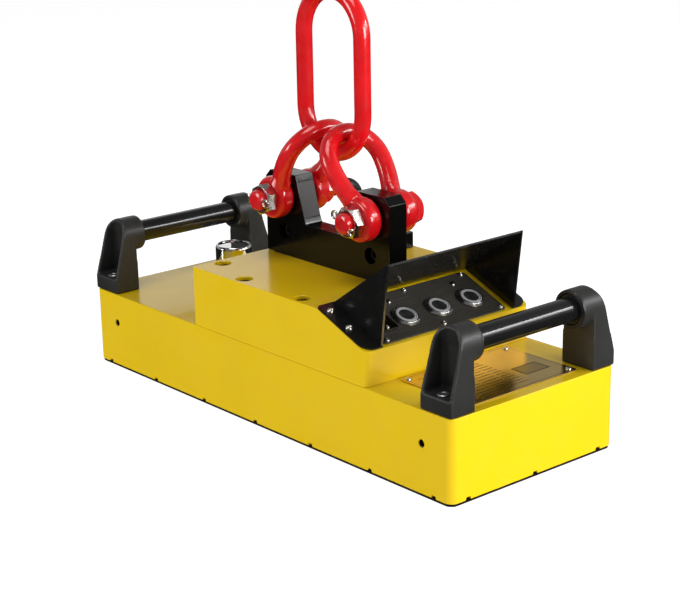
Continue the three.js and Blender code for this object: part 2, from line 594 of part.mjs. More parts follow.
// ---- handles ------------------------------------------------------------------------------------
// The leg is drawn with its inner face on y = 0, growing outward along +Y, and its foot on z = 0.
function tombstone(inset, foot) {
  const { width, plinth, axis, archR } = LEG;
  const half = width / 2 - inset;
  const shape = new THREE.Shape();
  shape.moveTo(-half, foot);
  shape.lineTo(half, foot);
  if (foot < plinth) shape.lineTo(half, plinth);
  shape.lineTo(archR - inset, axis);
  shape.absarc(0, axis, archR - inset, 0, Math.PI);
  if (foot < plinth) shape.lineTo(-half, plinth);
  return shape;
}

// The pocket in the outer face: its back wall leans outward near the top, so it ends shallow.
function legPocket() {
  const { rim, back, floor, ceiling } = LEG.pocket;
  const { low, high, y } = ceiling;
  const reach = LEG.depth + 1;
  const depth = turned(extrudeY(outline([[back, 0], [reach, 0], [reach, high], [y, high], [back, low]]),
    -LEG.width, LEG.width), 0, 0, 90);
  return extrudeY(tombstone(rim, floor), back, reach, 6).intersect(depth);
}

function legBody() {
  const { depth, plinth, axis, archR, topDepth, boss, pocket, screw } = LEG;
  const top = axis + archR;
  const side = outline([[0, 0], [depth, 0], [depth, plinth], [topDepth + 3, top - 12], [topDepth - 3, top + 1],
    [0, top + 1]]);
  const slab = turned(extrudeY(side, -LEG.width, LEG.width), 0, 0, 90);
  const front = extrudeY(tombstone(0, 0), -1, depth + 1, 8);
  const sleeve = rodY(2 * archR, -boss.reach, 2, 0, axis, CIRCLE);
  const cuts = [
    legPocket(),
    rodY(TUBE.dia + 0.8, -boss.reach - 1, boss.bore - boss.reach + 3, 0, axis),
    rodY(boss.counter, -boss.reach - 1, -boss.reach + boss.counterDepth, 0, axis),
    rodZ(screw.shank + 1, -1, pocket.floor + 1, 0, screw.depthY, 16),
    rodZ(screw.head + 1.4, screw.seat, pocket.floor + 1, 0, screw.depthY, 20),
  ];
  return cutAll(slab.intersect(front).add(sleeve), cuts);
}

function handles() {
  const body = legBody();
  const deck = HOUSING.deck + GAP;
  const { head, headHeight, shank, into, seat } = LEG.screw;
  const capScrew = rodZ(head, 0, headHeight, 0, 0, 20).add(rodZ(shank, -seat - into, 0.2, 0, 0, 16))
    .subtract(rodZ(7, headHeight - 4, headHeight + 1, 0, 0, 6));
  for (const { name, x, y } of legPlaces()) {
    const leg = y > 0 ? body : body.mirror([0, 1, 0]);
    piece(magnet, `handle_leg_${name}`, leg, moulded).position.set(x * LEG.x, y * LEG.inY, deck);
    piece(magnet, `leg_screw_${name}`, capScrew, steel).position.set(
      x * LEG.x, y * (LEG.inY + LEG.screw.depthY), deck + seat + GAP);
  }
  const tubeEnd = LEG.inY + 1;
  for (const [name, sign] of [['right', 1], ['left', -1]]) {
    const tube = rodY(TUBE.dia, -tubeEnd, tubeEnd)
      .subtract(rodY(TUBE.dia - 2 * TUBE.wall, -tubeEnd - 1, tubeEnd + 1, 0, 0, 20));
    piece(magnet, `grip_tube_${name}`, tube, glossBlack).position.set(sign * LEG.x, 0, deck + LEG.axis);
  }
}

// ---- deck fittings ------------------------------------------------------------------------------
function namePlate() {
  const { x0, x1, half, thick, cornerR, hole, inset } = PLATE;
  const z0 = HOUSING.deck + GAP;
  const sheet = extrudeZ(roundedRect(x0, x1, -half, half, Array(4).fill(cornerR)), z0, z0 + thick);
  const holes = bothSides([[x0 + inset, half - inset], [x1 - inset, half - inset]])
    .map(([x, y]) => rodZ(hole, z0 - 1, z0 + thick + 1, x, y, 12));
  return cutAll(sheet, holes);
}

function chargingSocket() {
  const { x, y, flange, flangeHeight, neck, neckHeight, below, bore } = SOCKET;
  const deck = HOUSING.deck + GAP;
  const top = deck + flangeHeight + neckHeight;
  const parts = [rodZ(flange, deck, deck + flangeHeight, x, y), rodZ(neck, deck - below, top, x, y)];
  return union(parts).subtract(rodZ(bore, deck, top + 1, x, y, 24));
}

// A turned cap with a hollow underneath and a shallow dish inside a raised rim on top.
function chargingCap() {
  const { dia, top, rim, dish, hollow, hollowDepth } = CAP;
  const bottom = HOUSING.deck + 2 * GAP + SOCKET.flangeHeight;
  const profile = [
    [hollow / 2, bottom], [dia / 2 - 1, bottom], [dia / 2, bottom + 1], [dia / 2, top - 3],
    [dia / 2 - 0.9, top - 0.9], [dia / 2 - rim, top], [dia / 2 - rim - 1.2, top - dish],
    [0, top - dish], [0, bottom + hollowDepth], [hollow / 2, bottom + hollowDepth], [hollow / 2, bottom],
  ].map(([r, z]) => new THREE.Vector2(r, z));
  const lathe = new THREE.LatheGeometry(profile, CIRCLE).rotateX(Math.PI / 2);
  return moved(solid(lathe), SOCKET.x, SOCKET.y, 0);
}

// ---- assembly -----------------------------------------------------------------------------------
piece(magnet, 'lower_housing', lowerHousing(), yellow);
piece(magnet, 'base_plate', basePlate(), satinBlack);
magnetUnits();
piece(magnet, 'upper_housing', upperHousing(), yellow);
electronics();
controls();
piece(magnet, 'lifting_lug', liftingLug(), glossBlack);
lugFasteners();
rearRest();
shackle('left', -1, THREE.MathUtils.degToRad(60));
shackle('right', 1, THREE.MathUtils.degToRad(-25));
piece(magnet, 'master_link', masterLink(), red);
handles();
piece(magnet, 'name_plate', namePlate(), bronze);
piece(magnet, 'charging_socket', chargingSocket(), chrome);
piece(magnet, 'charging_cap', chargingCap(), chrome);

export default magnet;
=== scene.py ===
import math

import bmesh
import bpy
from mathutils import Matrix, Vector


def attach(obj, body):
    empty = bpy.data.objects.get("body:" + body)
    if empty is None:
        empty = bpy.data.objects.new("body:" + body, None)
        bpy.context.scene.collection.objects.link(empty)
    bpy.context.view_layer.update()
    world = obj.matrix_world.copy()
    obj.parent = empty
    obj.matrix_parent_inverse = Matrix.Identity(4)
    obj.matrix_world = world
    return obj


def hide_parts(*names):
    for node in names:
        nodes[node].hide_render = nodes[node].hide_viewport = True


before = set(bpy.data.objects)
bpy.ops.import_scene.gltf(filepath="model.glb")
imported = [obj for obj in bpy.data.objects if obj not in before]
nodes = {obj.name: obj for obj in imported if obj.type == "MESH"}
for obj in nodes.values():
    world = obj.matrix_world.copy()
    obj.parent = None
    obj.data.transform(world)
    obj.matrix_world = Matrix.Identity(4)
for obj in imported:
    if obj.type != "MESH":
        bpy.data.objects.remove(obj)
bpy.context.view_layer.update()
MM = 0.001


# ---- camera, light and floor ---------------------------------------------------------------------
def make_camera():
    azimuth, elevation, roll = (math.radians(a) for a in (49.701, 17.372, -1.092))
    back = Vector((math.sin(azimuth) * math.cos(elevation), -math.cos(azimuth) * math.cos(elevation),
                   math.sin(elevation)))
    right = Vector((math.cos(azimuth), math.sin(azimuth), 0))
    up = back.cross(right)
    x_axis = math.cos(roll) * right + math.sin(roll) * up
    y_axis = -math.sin(roll) * right + math.cos(roll) * up
    camera = bpy.data.objects.new("camera", bpy.data.cameras.new("camera"))
    bpy.context.scene.collection.objects.link(camera)
    turn = Matrix((x_axis, y_axis, back)).transposed().to_4x4()
    camera.matrix_world = Matrix.Translation(Vector((1.3831, -1.1662, 0.6725))) @ turn
    camera.data.lens = 91.93
    camera.data.sensor_width = 36
    camera.data.sensor_fit = "HORIZONTAL"
    camera.data.clip_start, camera.data.clip_end = 0.05, 50
    bpy.context.scene.camera = camera


def area_light(name, place, aim, size, power):
    data = bpy.data.lights.new(name, "AREA")
    data.shape, data.size, data.size_y = "RECTANGLE", size[0], size[1]
    data.energy = power
    light = bpy.data.objects.new(name, data)
    light.location = place
    light.rotation_mode = "QUATERNION"
    light.rotation_quaternion = (Vector(aim) - Vector(place)).to_track_quat("-Z", "Y")
    bpy.context.scene.collection.objects.link(light)
    light.visible_camera = False


def make_studio():
    """Grey all round, darker in front, above and below; windows on the right and a white card on the left."""
    world = bpy.data.worlds.new("studio")
    bpy.context.scene.world = world
    world.use_nodes = True
    tree = world.node_tree

    def graded(value, low, high, to_low, to_high):
        made = tree.nodes.new("ShaderNodeMapRange")
        made.interpolation_type = "SMOOTHSTEP"
        for key, number in (("From Min", low), ("From Max", high), ("To Min", to_low), ("To Max", to_high)):
            made.inputs[key].default_value = number
        tree.links.new(value, made.inputs["Value"])
        return made.outputs["Result"]

    def times(a, b):
        made = tree.nodes.new("ShaderNodeMath")
        made.operation = "MULTIPLY"
        tree.links.new(a, made.inputs[0])
        tree.links.new(b, made.inputs[1])
        return made.outputs[0]

    where = tree.nodes.new("ShaderNodeTexCoord").outputs["Generated"]
    split = tree.nodes.new("ShaderNodeSeparateXYZ")
    tree.links.new(where, split.inputs[0])
    toward = tree.nodes.new("ShaderNodeVectorMath")
    toward.operation = "DOT_PRODUCT"
    toward.inputs[1].default_value = (-0.45, 0.89, 0)
    tree.links.new(where, toward.inputs[0])
    behind = graded(toward.outputs["Value"], -0.55, 0.45, 0.16, 0.32)
    zenith = graded(split.outputs["Z"], 0.4, 0.95, 1.0, 0.35)
    horizon = graded(split.outputs["Z"], -0.06, 0.03, 0.05, 1.0)
    value = times(times(behind, zenith), horizon)
    tree.nodes["Background"].inputs["Color"].default_value = (1, 1, 1, 1)
    tree.links.new(value, tree.nodes["Background"].inputs["Strength"])
    area_light("window_low", (2.7, 0.3, 0.75), (0.2, 0, 0.1), (1.3, 1.0), 46)
    area_light("window_strip", (1.94, 1.61, 1.32), (0.278, 0, 0.15), (1.5, 0.15), 16)
    area_light("window_wide", (1.86, 1.80, 1.02), (0.278, 0, 0.15), (1.6, 0.3), 8)
    area_light("white_card", (-1.39, 0.72, 0.60), (0, 0, 0.12), (0.85, 0.9), 1.3)
    area_light("front_fill", (-1.2, -2.5, 0.9), (0, 0, 0.1), (0.9, 0.9), 18)
    area_light("top_soft", (0.2, -0.6, 2.3), (0, 0, 0.2), (1.2, 1.2), 15)


def make_floor():
    mesh = bpy.data.meshes.new("floor")
    reach, drop = 14.0, -0.0006
    corners = [(x * reach, y * reach, drop) for x, y in ((-1, -1), (1, -1), (1, 1), (-1, 1))]
    mesh.from_pydata(corners, [], [(0, 1, 2, 3)])
    floor = bpy.data.objects.new("floor", mesh)
    bpy.context.scene.collection.objects.link(floor)
    finish = bpy.data.materials.new("floor_white")
    finish.use_nodes = True
    shader = finish.node_tree.nodes["Principled BSDF"]
    shader.inputs["Base Color"].default_value = (0.38, 0.38, 0.38, 1)
    shader.inputs["Roughness"].default_value = 0.9
    shader.inputs["Specular IOR Level"].default_value = 0.1
    shader.inputs["Emission Color"].default_value = (1, 1, 1, 1)
    shader.inputs["Emission Strength"].default_value = 0.9
    mesh.materials.append(finish)
    floor.visible_glossy = False


# ---- materials -----------------------------------------------------------------------------------
class Finish:
    """A procedural material: a Principled shader with constant sockets, and textures on the rest."""

    def __init__(self, name, color, roughness, **sockets):
        self.material = bpy.data.materials.new(name)
        self.material.use_nodes = True
        self.tree = self.material.node_tree
        self.shader = self.tree.nodes["Principled BSDF"]
        self.material.diffuse_color = (*color, 1)
        self.shader.inputs["Base Color"].default_value = (*color, 1)
        self.shader.inputs["Roughness"].default_value = roughness
        for key, value in sockets.items():
            self.shader.inputs[key.replace("_", " ")].default_value = value
        self.place = self.tree.nodes.new("ShaderNodeTexCoord").outputs["Object"]
        self.height = None

    def node(self, kind, **settings):
        made = self.tree.nodes.new(kind)
        for key, value in settings.items():
            setattr(made, key, value)
        return made

    def link(self, a, b):
        self.tree.links.new(a, b)

    def stretched(self, scale):
        mapping = self.node("ShaderNodeMapping")
        mapping.inputs["Scale"].default_value = scale
        self.link(self.place, mapping.inputs["Vector"])
        return mapping.outputs["Vector"]

    def noise(self, scale, detail=3.0, rough=0.55, at=None):
        made = self.node("ShaderNodeTexNoise")
        made.inputs["Scale"].default_value = scale
        made.inputs["Detail"].default_value = detail
        made.inputs["Roughness"].default_value = rough
        self.link(at or self.place, made.inputs["Vector"])
        return made.outputs["Fac"]

    def graded(self, value, low, high, to_low, to_high):
        made = self.node("ShaderNodeMapRange")
        for key, number in (("From Min", low), ("From Max", high), ("To Min", to_low), ("To Max", to_high)):
            made.inputs[key].default_value = number
        self.link(value, made.inputs["Value"])
        return made.outputs["Result"]

    def colors(self, value, stops):
        made = self.node("ShaderNodeValToRGB")
        ramp = made.color_ramp
        while len(ramp.elements) < len(stops):
            ramp.elements.new(0.5)
        for element, (position, color) in zip(ramp.elements, stops):
            element.position, element.color = position, (*color, 1)
        self.link(value, made.inputs["Fac"])
        return made.outputs["Color"]

    def math(self, operation, a, b):
        made = self.node("ShaderNodeMath", operation=operation)
        for socket, value in zip(made.inputs, (a, b)):
            if isinstance(value, (int, float)):
                socket.default_value = value
            else:
                self.link(value, socket)
        return made.outputs[0]

    def tint(self, value, stops):
        self.link(self.colors(value, stops), self.shader.inputs["Base Color"])
        return self

    def rough(self, value, low, high, from_low=0.3, from_high=0.7):
        self.link(self.graded(value, from_low, from_high, low, high), self.shader.inputs["Roughness"])
        return self

    def bump(self, value, millimetres, strength=1.0):
        made = self.node("ShaderNodeBump")
        made.inputs["Distance"].default_value = millimetres * MM
        made.inputs["Strength"].default_value = strength
        self.link(value, made.inputs["Height"])
        if self.height is not None:
            self.link(self.height, made.inputs["Normal"])
        self.height = made.outputs["Normal"]
        self.link(self.height, self.shader.inputs["Normal"])
        return self


def make_finishes():
    made = {}

    f = Finish("yellow_powder_coat", (0.86, 0.59, 0.004), 0.2, Specular_IOR_Level=0.4, Coat_Weight=0.15,
               Coat_Roughness=0.05)
    f.tint(f.noise(7, 4), [(0.3, (0.84, 0.57, 0.0035)), (0.7, (0.89, 0.605, 0.005))])
    f.rough(f.noise(40, 4), 0.16, 0.27).bump(f.noise(420, 2), 0.012, 0.5)
    made["yellow"] = f

    f = Finish("red_enamel", (0.74, 0.006, 0.010), 0.16, Coat_Weight=0.8, Coat_Roughness=0.05)
    f.tint(f.noise(28, 3), [(0.3, (0.66, 0.004, 0.007)), (0.7, (0.80, 0.008, 0.012))])
    f.rough(f.noise(90, 3), 0.12, 0.26).bump(f.noise(95, 2), 0.35, 0.5).bump(f.noise(420, 2), 0.06, 0.4)
    made["red"] = f

    f = Finish("red_enamel_cast", (0.72, 0.006, 0.010), 0.2, Coat_Weight=0.8, Coat_Roughness=0.06)
    f.tint(f.noise(45, 3), [(0.3, (0.62, 0.004, 0.007)), (0.7, (0.78, 0.008, 0.012))])
    pits = f.node("ShaderNodeTexVoronoi", feature="SMOOTH_F1")
    pits.inputs["Scale"].default_value = 260
    f.link(f.place, pits.inputs["Vector"])
    f.rough(f.noise(120, 3), 0.14, 0.32)
    f.bump(f.noise(130, 3), 0.5, 0.6).bump(pits.outputs["Distance"], 0.25, 0.5)
    made["cast"] = f

    f = Finish("gloss_black_paint", (0.003, 0.003, 0.003), 0.13, Specular_IOR_Level=0.32)
    f.tint(f.noise(30, 4), [(0.3, (0.0022, 0.0021, 0.0020)), (0.75, (0.0042, 0.0038, 0.0033))])
    f.rough(f.noise(160, 4), 0.10, 0.24).bump(f.noise(380, 2), 0.012, 0.5)
    made["gloss"] = f

    f = Finish("brushed_black_face", (0.03, 0.03, 0.031), 0.4)
    streaks = f.noise(1.0, 4, 0.6, f.stretched((900, 900, 25)))
    f.tint(streaks, [(0.25, (0.034, 0.035, 0.036)), (0.8, (0.075, 0.076, 0.078))])
    f.rough(streaks, 0.34, 0.55).bump(streaks, 0.05, 0.5)
    made["brushed"] = f

    f = Finish("satin_black_paint", (0.007, 0.007, 0.007), 0.34)
    f.tint(f.noise(25, 4), [(0.3, (0.0055, 0.0055, 0.0055)), (0.7, (0.010, 0.0095, 0.009))])
    f.rough(f.noise(220, 3), 0.28, 0.42).bump(f.noise(900, 2), 0.02, 0.5)
    made["satin"] = f

    f = Finish("hood_powder_coat", (0.007, 0.007, 0.007), 0.24)
    f.tint(f.noise(25, 4), [(0.3, (0.0055, 0.0055, 0.0055)), (0.7, (0.010, 0.0095, 0.009))])
    f.rough(f.noise(120, 3), 0.19, 0.28).bump(f.noise(500, 2), 0.003, 0.4)
    made["hood"] = f

    f = Finish("charcoal_moulding", (0.022, 0.022, 0.021), 0.5)
    f.tint(f.noise(18, 4), [(0.3, (0.019, 0.019, 0.018)), (0.7, (0.029, 0.029, 0.028))])
    grain = f.node("ShaderNodeTexVoronoi", feature="SMOOTH_F1")
    grain.inputs["Scale"].default_value = 1100
    f.link(f.place, grain.inputs["Vector"])
    f.rough(f.noise(500, 3), 0.34, 0.46).bump(grain.outputs["Distance"], 0.05, 0.5)
    made["moulded"] = f

    f = Finish("black_tube", (0.006, 0.006, 0.006), 0.16, Coat_Weight=0.3, Coat_Roughness=0.05)
    scuffs = f.noise(1.0, 4, 0.65, f.stretched((700, 18, 700)))
    f.tint(scuffs, [(0.3, (0.0045, 0.0045, 0.0045)), (0.75, (0.011, 0.011, 0.011))])
    f.rough(scuffs, 0.12, 0.26).bump(scuffs, 0.006, 0.4)
    made["tube"] = f

    f = Finish("zinc_plate", (0.72, 0.71, 0.66), 0.26, Metallic=1.0)
    f.tint(f.noise(90, 3),
           [(0.3, (0.68, 0.66, 0.61)), (0.55, (0.74, 0.73, 0.69)), (0.75, (0.71, 0.70, 0.66))])
    f.rough(f.noise(260, 3), 0.2, 0.26)
    made["zinc"] = f

    f = Finish("chrome_plate", (0.86, 0.86, 0.85), 0.05, Metallic=1.0)
    f.tint(f.noise(60, 3), [(0.3, (0.80, 0.80, 0.79)), (0.7, (0.90, 0.90, 0.90))])
    f.rough(f.noise(300, 4), 0.03, 0.09)
    made["chrome"] = f

    f = Finish("button_steel", (0.62, 0.61, 0.59), 0.22, Metallic=1.0)
    rings = f.node("ShaderNodeTexWave", wave_type="RINGS", rings_direction="Z")
    rings.inputs["Scale"].default_value = 900
    rings.inputs["Distortion"].default_value = 1.0
    f.link(f.place, rings.inputs["Vector"])
    f.tint(f.noise(300, 3), [(0.3, (0.55, 0.54, 0.52)), (0.7, (0.70, 0.69, 0.67))])
    f.rough(rings.outputs["Fac"], 0.16, 0.32, 0, 1).bump(rings.outputs["Fac"], 0.01, 0.4)
    made["ring"] = f

    f = Finish("button_centre", (0.18, 0.18, 0.182), 0.3, Metallic=0.9, Anisotropic=0.75)
    rings = f.node("ShaderNodeTexWave", wave_type="RINGS", rings_direction="Z")
    rings.inputs["Scale"].default_value = 700
    rings.inputs["Distortion"].default_value = 2.0
    f.link(f.place, rings.inputs["Vector"])
    f.tint(rings.outputs["Fac"], [(0.0, (0.13, 0.13, 0.132)), (1.0, (0.24, 0.24, 0.242))])
    f.rough(rings.outputs["Fac"], 0.24, 0.36, 0, 1).bump(rings.outputs["Fac"], 0.015, 0.5)
    turn = f.node("ShaderNodeTangent", direction_type="RADIAL", axis="Z")
    f.link(turn.outputs["Tangent"], f.shader.inputs["Tangent"])
    made["centre"] = f

    f = Finish("light_ring", (0.50, 0.51, 0.52), 0.38)
    f.tint(f.noise(400, 3), [(0.3, (0.46, 0.47, 0.48)), (0.7, (0.56, 0.57, 0.58))])
    f.rough(f.noise(700, 2), 0.3, 0.42)
    made["light_ring"] = f

    f = Finish("black_seal", (0.006, 0.006, 0.006), 0.45)
    f.tint(f.noise(200, 3), [(0.3, (0.005, 0.005, 0.005)), (0.7, (0.009, 0.009, 0.009))])
    f.rough(f.noise(900, 2), 0.38, 0.55).bump(f.noise(1200, 2), 0.02, 0.4)
    made["seal"] = f

    f = Finish("panel_film", (0.050, 0.047, 0.041), 0.24, Metallic=0.2)
    brush = f.noise(1.0, 4, 0.6, f.stretched((1500, 22, 1500)))
    cloud = f.noise(22, 3)
    f.tint(cloud, [(0.3, (0.066, 0.062, 0.052)), (0.7, (0.088, 0.082, 0.069))])
    f.rough(brush, 0.24, 0.28)
    made["film"] = f

    f = Finish("lamp_lens", (0.75, 0.77, 0.77), 0.08, Coat_Weight=0.6, Coat_Roughness=0.03)
    f.tint(f.noise(500, 2), [(0.3, (0.66, 0.68, 0.68)), (0.7, (0.84, 0.85, 0.85))])
    f.rough(f.noise(900, 2), 0.06, 0.12)
    made["lens"] = f

    f = Finish("smoked_lens", (0.012, 0.012, 0.012), 0.06, Coat_Weight=0.8, Coat_Roughness=0.02)
    f.tint(f.noise(500, 2), [(0.3, (0.009, 0.009, 0.009)), (0.7, (0.016, 0.016, 0.016))])
    f.rough(f.noise(900, 2), 0.05, 0.09)
    made["smoked"] = f

    f = Finish("machined_steel", (0.46, 0.46, 0.47), 0.36, Metallic=1.0)
    cut = f.noise(1.0, 4, 0.6, f.stretched((1200, 30, 30)))
    f.tint(cut, [(0.3, (0.40, 0.40, 0.41)), (0.7, (0.54, 0.54, 0.55))])
    f.rough(cut, 0.28, 0.46).bump(cut, 0.02, 0.4)
    made["steel"] = f

    f = Finish("copper_winding", (0.52, 0.22, 0.09), 0.34, Metallic=0.9)
    wires = f.node("ShaderNodeTexWave", bands_direction="Z")
    wires.inputs["Scale"].default_value = 160
    f.link(f.place, wires.inputs["Vector"])
    f.tint(wires.outputs["Fac"], [(0.0, (0.22, 0.07, 0.025)), (1.0, (0.62, 0.27, 0.11))])
    f.bump(wires.outputs["Fac"], 0.7, 0.9)
    made["copper"] = f

    f = Finish("board_laminate", (0.012, 0.085, 0.04), 0.4)
    tracks = f.node("ShaderNodeTexBrick")
    tracks.inputs["Scale"].default_value = 90
    f.link(f.place, tracks.inputs["Vector"])
    f.tint(tracks.outputs["Fac"], [(0.0, (0.010, 0.075, 0.035)), (1.0, (0.025, 0.14, 0.06))])
    f.rough(f.noise(200, 3), 0.32, 0.5)
    made["board"] = f

    f = Finish("battery_case", (0.02, 0.085, 0.25), 0.4)
    f.tint(f.noise(25, 3), [(0.3, (0.017, 0.075, 0.22)), (0.7, (0.025, 0.10, 0.29))])
    f.rough(f.noise(300, 3), 0.32, 0.5).bump(f.noise(700, 2), 0.03, 0.4)
    made["battery"] = f

    f = Finish("black_steel", (0.014, 0.013, 0.013), 0.42, Metallic=0.6)
    f.tint(f.noise(35, 4), [(0.3, (0.011, 0.010, 0.010)), (0.7, (0.026, 0.023, 0.021))])
    f.rough(f.noise(260, 4), 0.32, 0.55).bump(f.noise(500, 3), 0.05, 0.5)
    made["base"] = f

    f = Finish("shadow_black", (0.003, 0.003, 0.003), 0.6)
    f.tint(f.noise(300, 3), [(0.3, (0.002, 0.002, 0.002)), (0.7, (0.005, 0.005, 0.005))])
    f.rough(f.noise(500, 2), 0.5, 0.7)
    made["dark"] = f

    made["plate"] = plate_finish()
    return {key: value.material for key, value in made.items()}


def plate_finish():
    """A satin bronze plate with ruled blank rows and one outlined blank field."""
    f = Finish("nameplate_bronze", (0.68, 0.48, 0.15), 0.22, Metallic=1.0)
    split = f.node("ShaderNodeSeparateXYZ")
    f.link(f.place, split.inputs[0])
    x, y = split.outputs["X"], split.outputs["Y"]

    def inside(value, low, high):
        above = f.math("GREATER_THAN", value, low * MM)
        return f.math("MULTIPLY", above, f.math("LESS_THAN", value, high * MM))

    def field(x0, x1, y0, y1):
        return f.math("MULTIPLY", inside(x, x0, x1), inside(y, y0, y1))

    pitch = 6.2 * MM
    phase = f.math("FRACT", f.math("DIVIDE", x, pitch), 0)
    rows = f.math("LESS_THAN", phase, 0.16)
    rows = f.math("MULTIPLY", rows, field(194, 277, -62, 16))
    column = f.math("FRACT", f.math("DIVIDE", y, 26 * MM), 0)
    rows = f.math("MULTIPLY", rows, f.math("GREATER_THAN", column, 0.12))
    rim = f.math("SUBTRACT", field(240, 262, 26, 60), field(241.4, 260.6, 27.4, 58.6))
    border = f.math("SUBTRACT", field(187.5, 283.5, -72.5, 72.5), field(188.1, 282.9, -71.9, 71.9))
    marks = f.math("MAXIMUM", f.math("MAXIMUM", rows, rim), border)
    panel = f.math("MULTIPLY", field(241.4, 260.6, 27.4, 58.6), 0.35)
    marks = f.math("MAXIMUM", marks, panel)
    cloud = f.noise(24, 4)
    base = f.colors(cloud, [(0.3, (0.62, 0.43, 0.12)), (0.7, (0.76, 0.54, 0.18))])
    mix = f.node("ShaderNodeMix", data_type="RGBA")
    f.link(marks, mix.inputs["Factor"])
    f.link(base, mix.inputs["A"])
    mix.inputs["B"].default_value = (0.035, 0.022, 0.016, 1)
    f.link(mix.outputs["Result"], f.shader.inputs["Base Color"])
    smooth = f.graded(cloud, 0.3, 0.7, 0.18, 0.27)
    f.link(f.math("ADD", smooth, f.math("MULTIPLY", marks, 0.3)), f.shader.inputs["Roughness"])
    f.bump(f.math("SUBTRACT", 1.0, marks), 0.04, 0.6)
    return f


# ---- mesh tools, in millimetres ------------------------------------------------------------------
def new_object(name, points, faces):
    mesh = bpy.data.meshes.new(name)
    mesh.from_pydata([(x * MM, y * MM, z * MM) for x, y, z in points], [], faces)
    work = bmesh.new()
    work.from_mesh(mesh)
    bmesh.ops.recalc_face_normals(work, faces=work.faces)
    work.to_mesh(mesh)
    work.free()
    made = bpy.data.objects.new(name, mesh)
    bpy.context.scene.collection.objects.link(made)
    return made


def prism(name, outline, low, high, axis="Z"):
    orders = {"X": lambda u, v, w: (w, u, v), "Y": lambda u, v, w: (u, w, v), "Z": lambda u, v, w: (u, v, w)}
    put = orders[axis]
    n = len(outline)
    points = [put(u, v, low) for u, v in outline] + [put(u, v, high) for u, v in outline]
    sides = [(i, (i + 1) % n, n + (i + 1) % n, n + i) for i in range(n)]
    return new_object(name, points, [tuple(range(n)), tuple(range(n, 2 * n)), *sides])


def block(name, x0, x1, y0, y1, z0, z1):
    return prism(name, [(x0, y0), (x1, y0), (x1, y1), (x0, y1)], z0, z1)


def arc(cx, cy, r, a0, a1, steps):
    return [(cx + r * math.cos(math.radians(a0 + (a1 - a0) * i / steps)),
             cy + r * math.sin(math.radians(a0 + (a1 - a0) * i / steps))) for i in range(steps + 1)]


def rounded(x0, x1, y0, y1, radii, steps=8):
    """A rectangle with its own radius at each corner, from the low corner going round."""
    corners = [(x0, y0, 1, 1, 180), (x1, y0, -1, 1, 270), (x1, y1, -1, -1, 0), (x0, y1, 1, -1, 90)]
    points = []
    for (cx, cy, sx, sy, a), r in zip(corners, radii):
        points += arc(cx + sx * r, cy + sy * r, r, a, a + 90, steps) if r > 0 else [(cx, cy)]
    return points


def lathe(name, rings, sides=48, bands=None):
    """A turned solid about Z. A ring is (radius, height), or (radius, height, flats) where flats cuts it
    to a hexagon. bands gives the material slot of each step between rings."""
    points, rows = [], []
    for ring in rings:
        radius, height = ring[:2]
        if radius == 0:
            rows.append([len(points)])
            points.append((0, 0, height))
            continue
        row = []
        for i in range(sides):
            turn = 2 * math.pi * i / sides
            r = radius
            if len(ring) > 2:
                local = (turn % (math.pi / 3)) - math.pi / 6
                r = min(radius, ring[2] / 2 / math.cos(local))
            row.append(len(points))
            points.append((r * math.cos(turn), r * math.sin(turn), height))
        rows.append(row)
    faces, slots = [], []
    closed = len(rows[0]) > 1
    steps = len(rows) if closed else len(rows) - 1
    for k in range(steps):
        a, b = rows[k], rows[(k + 1) % len(rows)]
        for i in range(sides):
            j = (i + 1) % sides
            if len(a) == 1:
                faces.append((a[0], b[i], b[j]))
            elif len(b) == 1:
                faces.append((a[i], a[j], b[0]))
            else:
                faces.append((a[i], a[j], b[j], b[i]))
            slots.append(bands[k] if bands else 0)
    made = new_object(name, points, faces)
    if bands:
        made.data.polygons.foreach_set("material_index", slots)
    return made


def tube(name, path, radius, sides=16, closed=False, dome=0.0):
    """A round bar along a path. dome rounds the two ends off by that much."""
    path = [Vector(p) for p in path]
    n = len(path)
    tangents = []
    for i in range(n):
        before = path[i - 1] if i or closed else path[0]
        after = path[(i + 1) % n] if i < n - 1 or closed else path[-1]
        tangents.append((after - before).normalized())
    side = tangents[0].orthogonal().normalized()
    frames = []
    for t in tangents:
        side = (side - t * side.dot(t)).normalized()
        frames.append((side, t.cross(side)))
    radii = [radius(i / (n - 1)) if callable(radius) else radius for i in range(n)]
    stations = list(zip(path, frames, radii))
    if not closed and dome:
        ends = []
        for at, frame_, r, t in ((path[0], frames[0], stations[0][2], -tangents[0]),
                                 (path[-1], frames[-1], stations[-1][2], tangents[-1])):
            ends.append([(at - t * dome * (1 - math.sin(a)), frame_, r - dome * (1 - math.cos(a)))
                         for a in (0, math.pi / 6, math.pi / 3, math.pi / 2)])
        stations = ends[0][::-1] + stations[1:-1] + ends[1]
    points, rows = [], []
    for at, (u, v), r in stations:
        rows.append(range(len(points), len(points) + sides))
        points += [tuple(at + (u * math.cos(a) + v * math.sin(a)) * r)
                   for a in (2 * math.pi * k / sides for k in range(sides))]
    faces = []
    for k in range(len(rows) if closed else len(rows) - 1):
        a, b = rows[k], rows[(k + 1) % len(rows)]
        faces += [(a[i], a[(i + 1) % sides], b[(i + 1) % sides], b[i]) for i in range(sides)]
    if not closed:
        faces += [tuple(rows[0]), tuple(rows[-1])]
    return new_object(name, points, faces)


def bake(made):
    """Applies the object's modifiers."""
    graph = bpy.context.evaluated_depsgraph_get()
    mesh = bpy.data.meshes.new_from_object(made.evaluated_get(graph))
    made.modifiers.clear()
    made.data = mesh
    return made


def combine(made, tools, operation="DIFFERENCE"):
    for tool in tools:
        step = made.modifiers.new("combine", "BOOLEAN")
        step.operation, step.solver, step.object = operation, "EXACT", tool
    bake(made)
    for tool in tools:
        bpy.data.objects.remove(tool)
    return made


def place(made, matrix):
    made.data.transform(matrix)
    if matrix.is_negative:
        made.data.flip_normals()
    return made


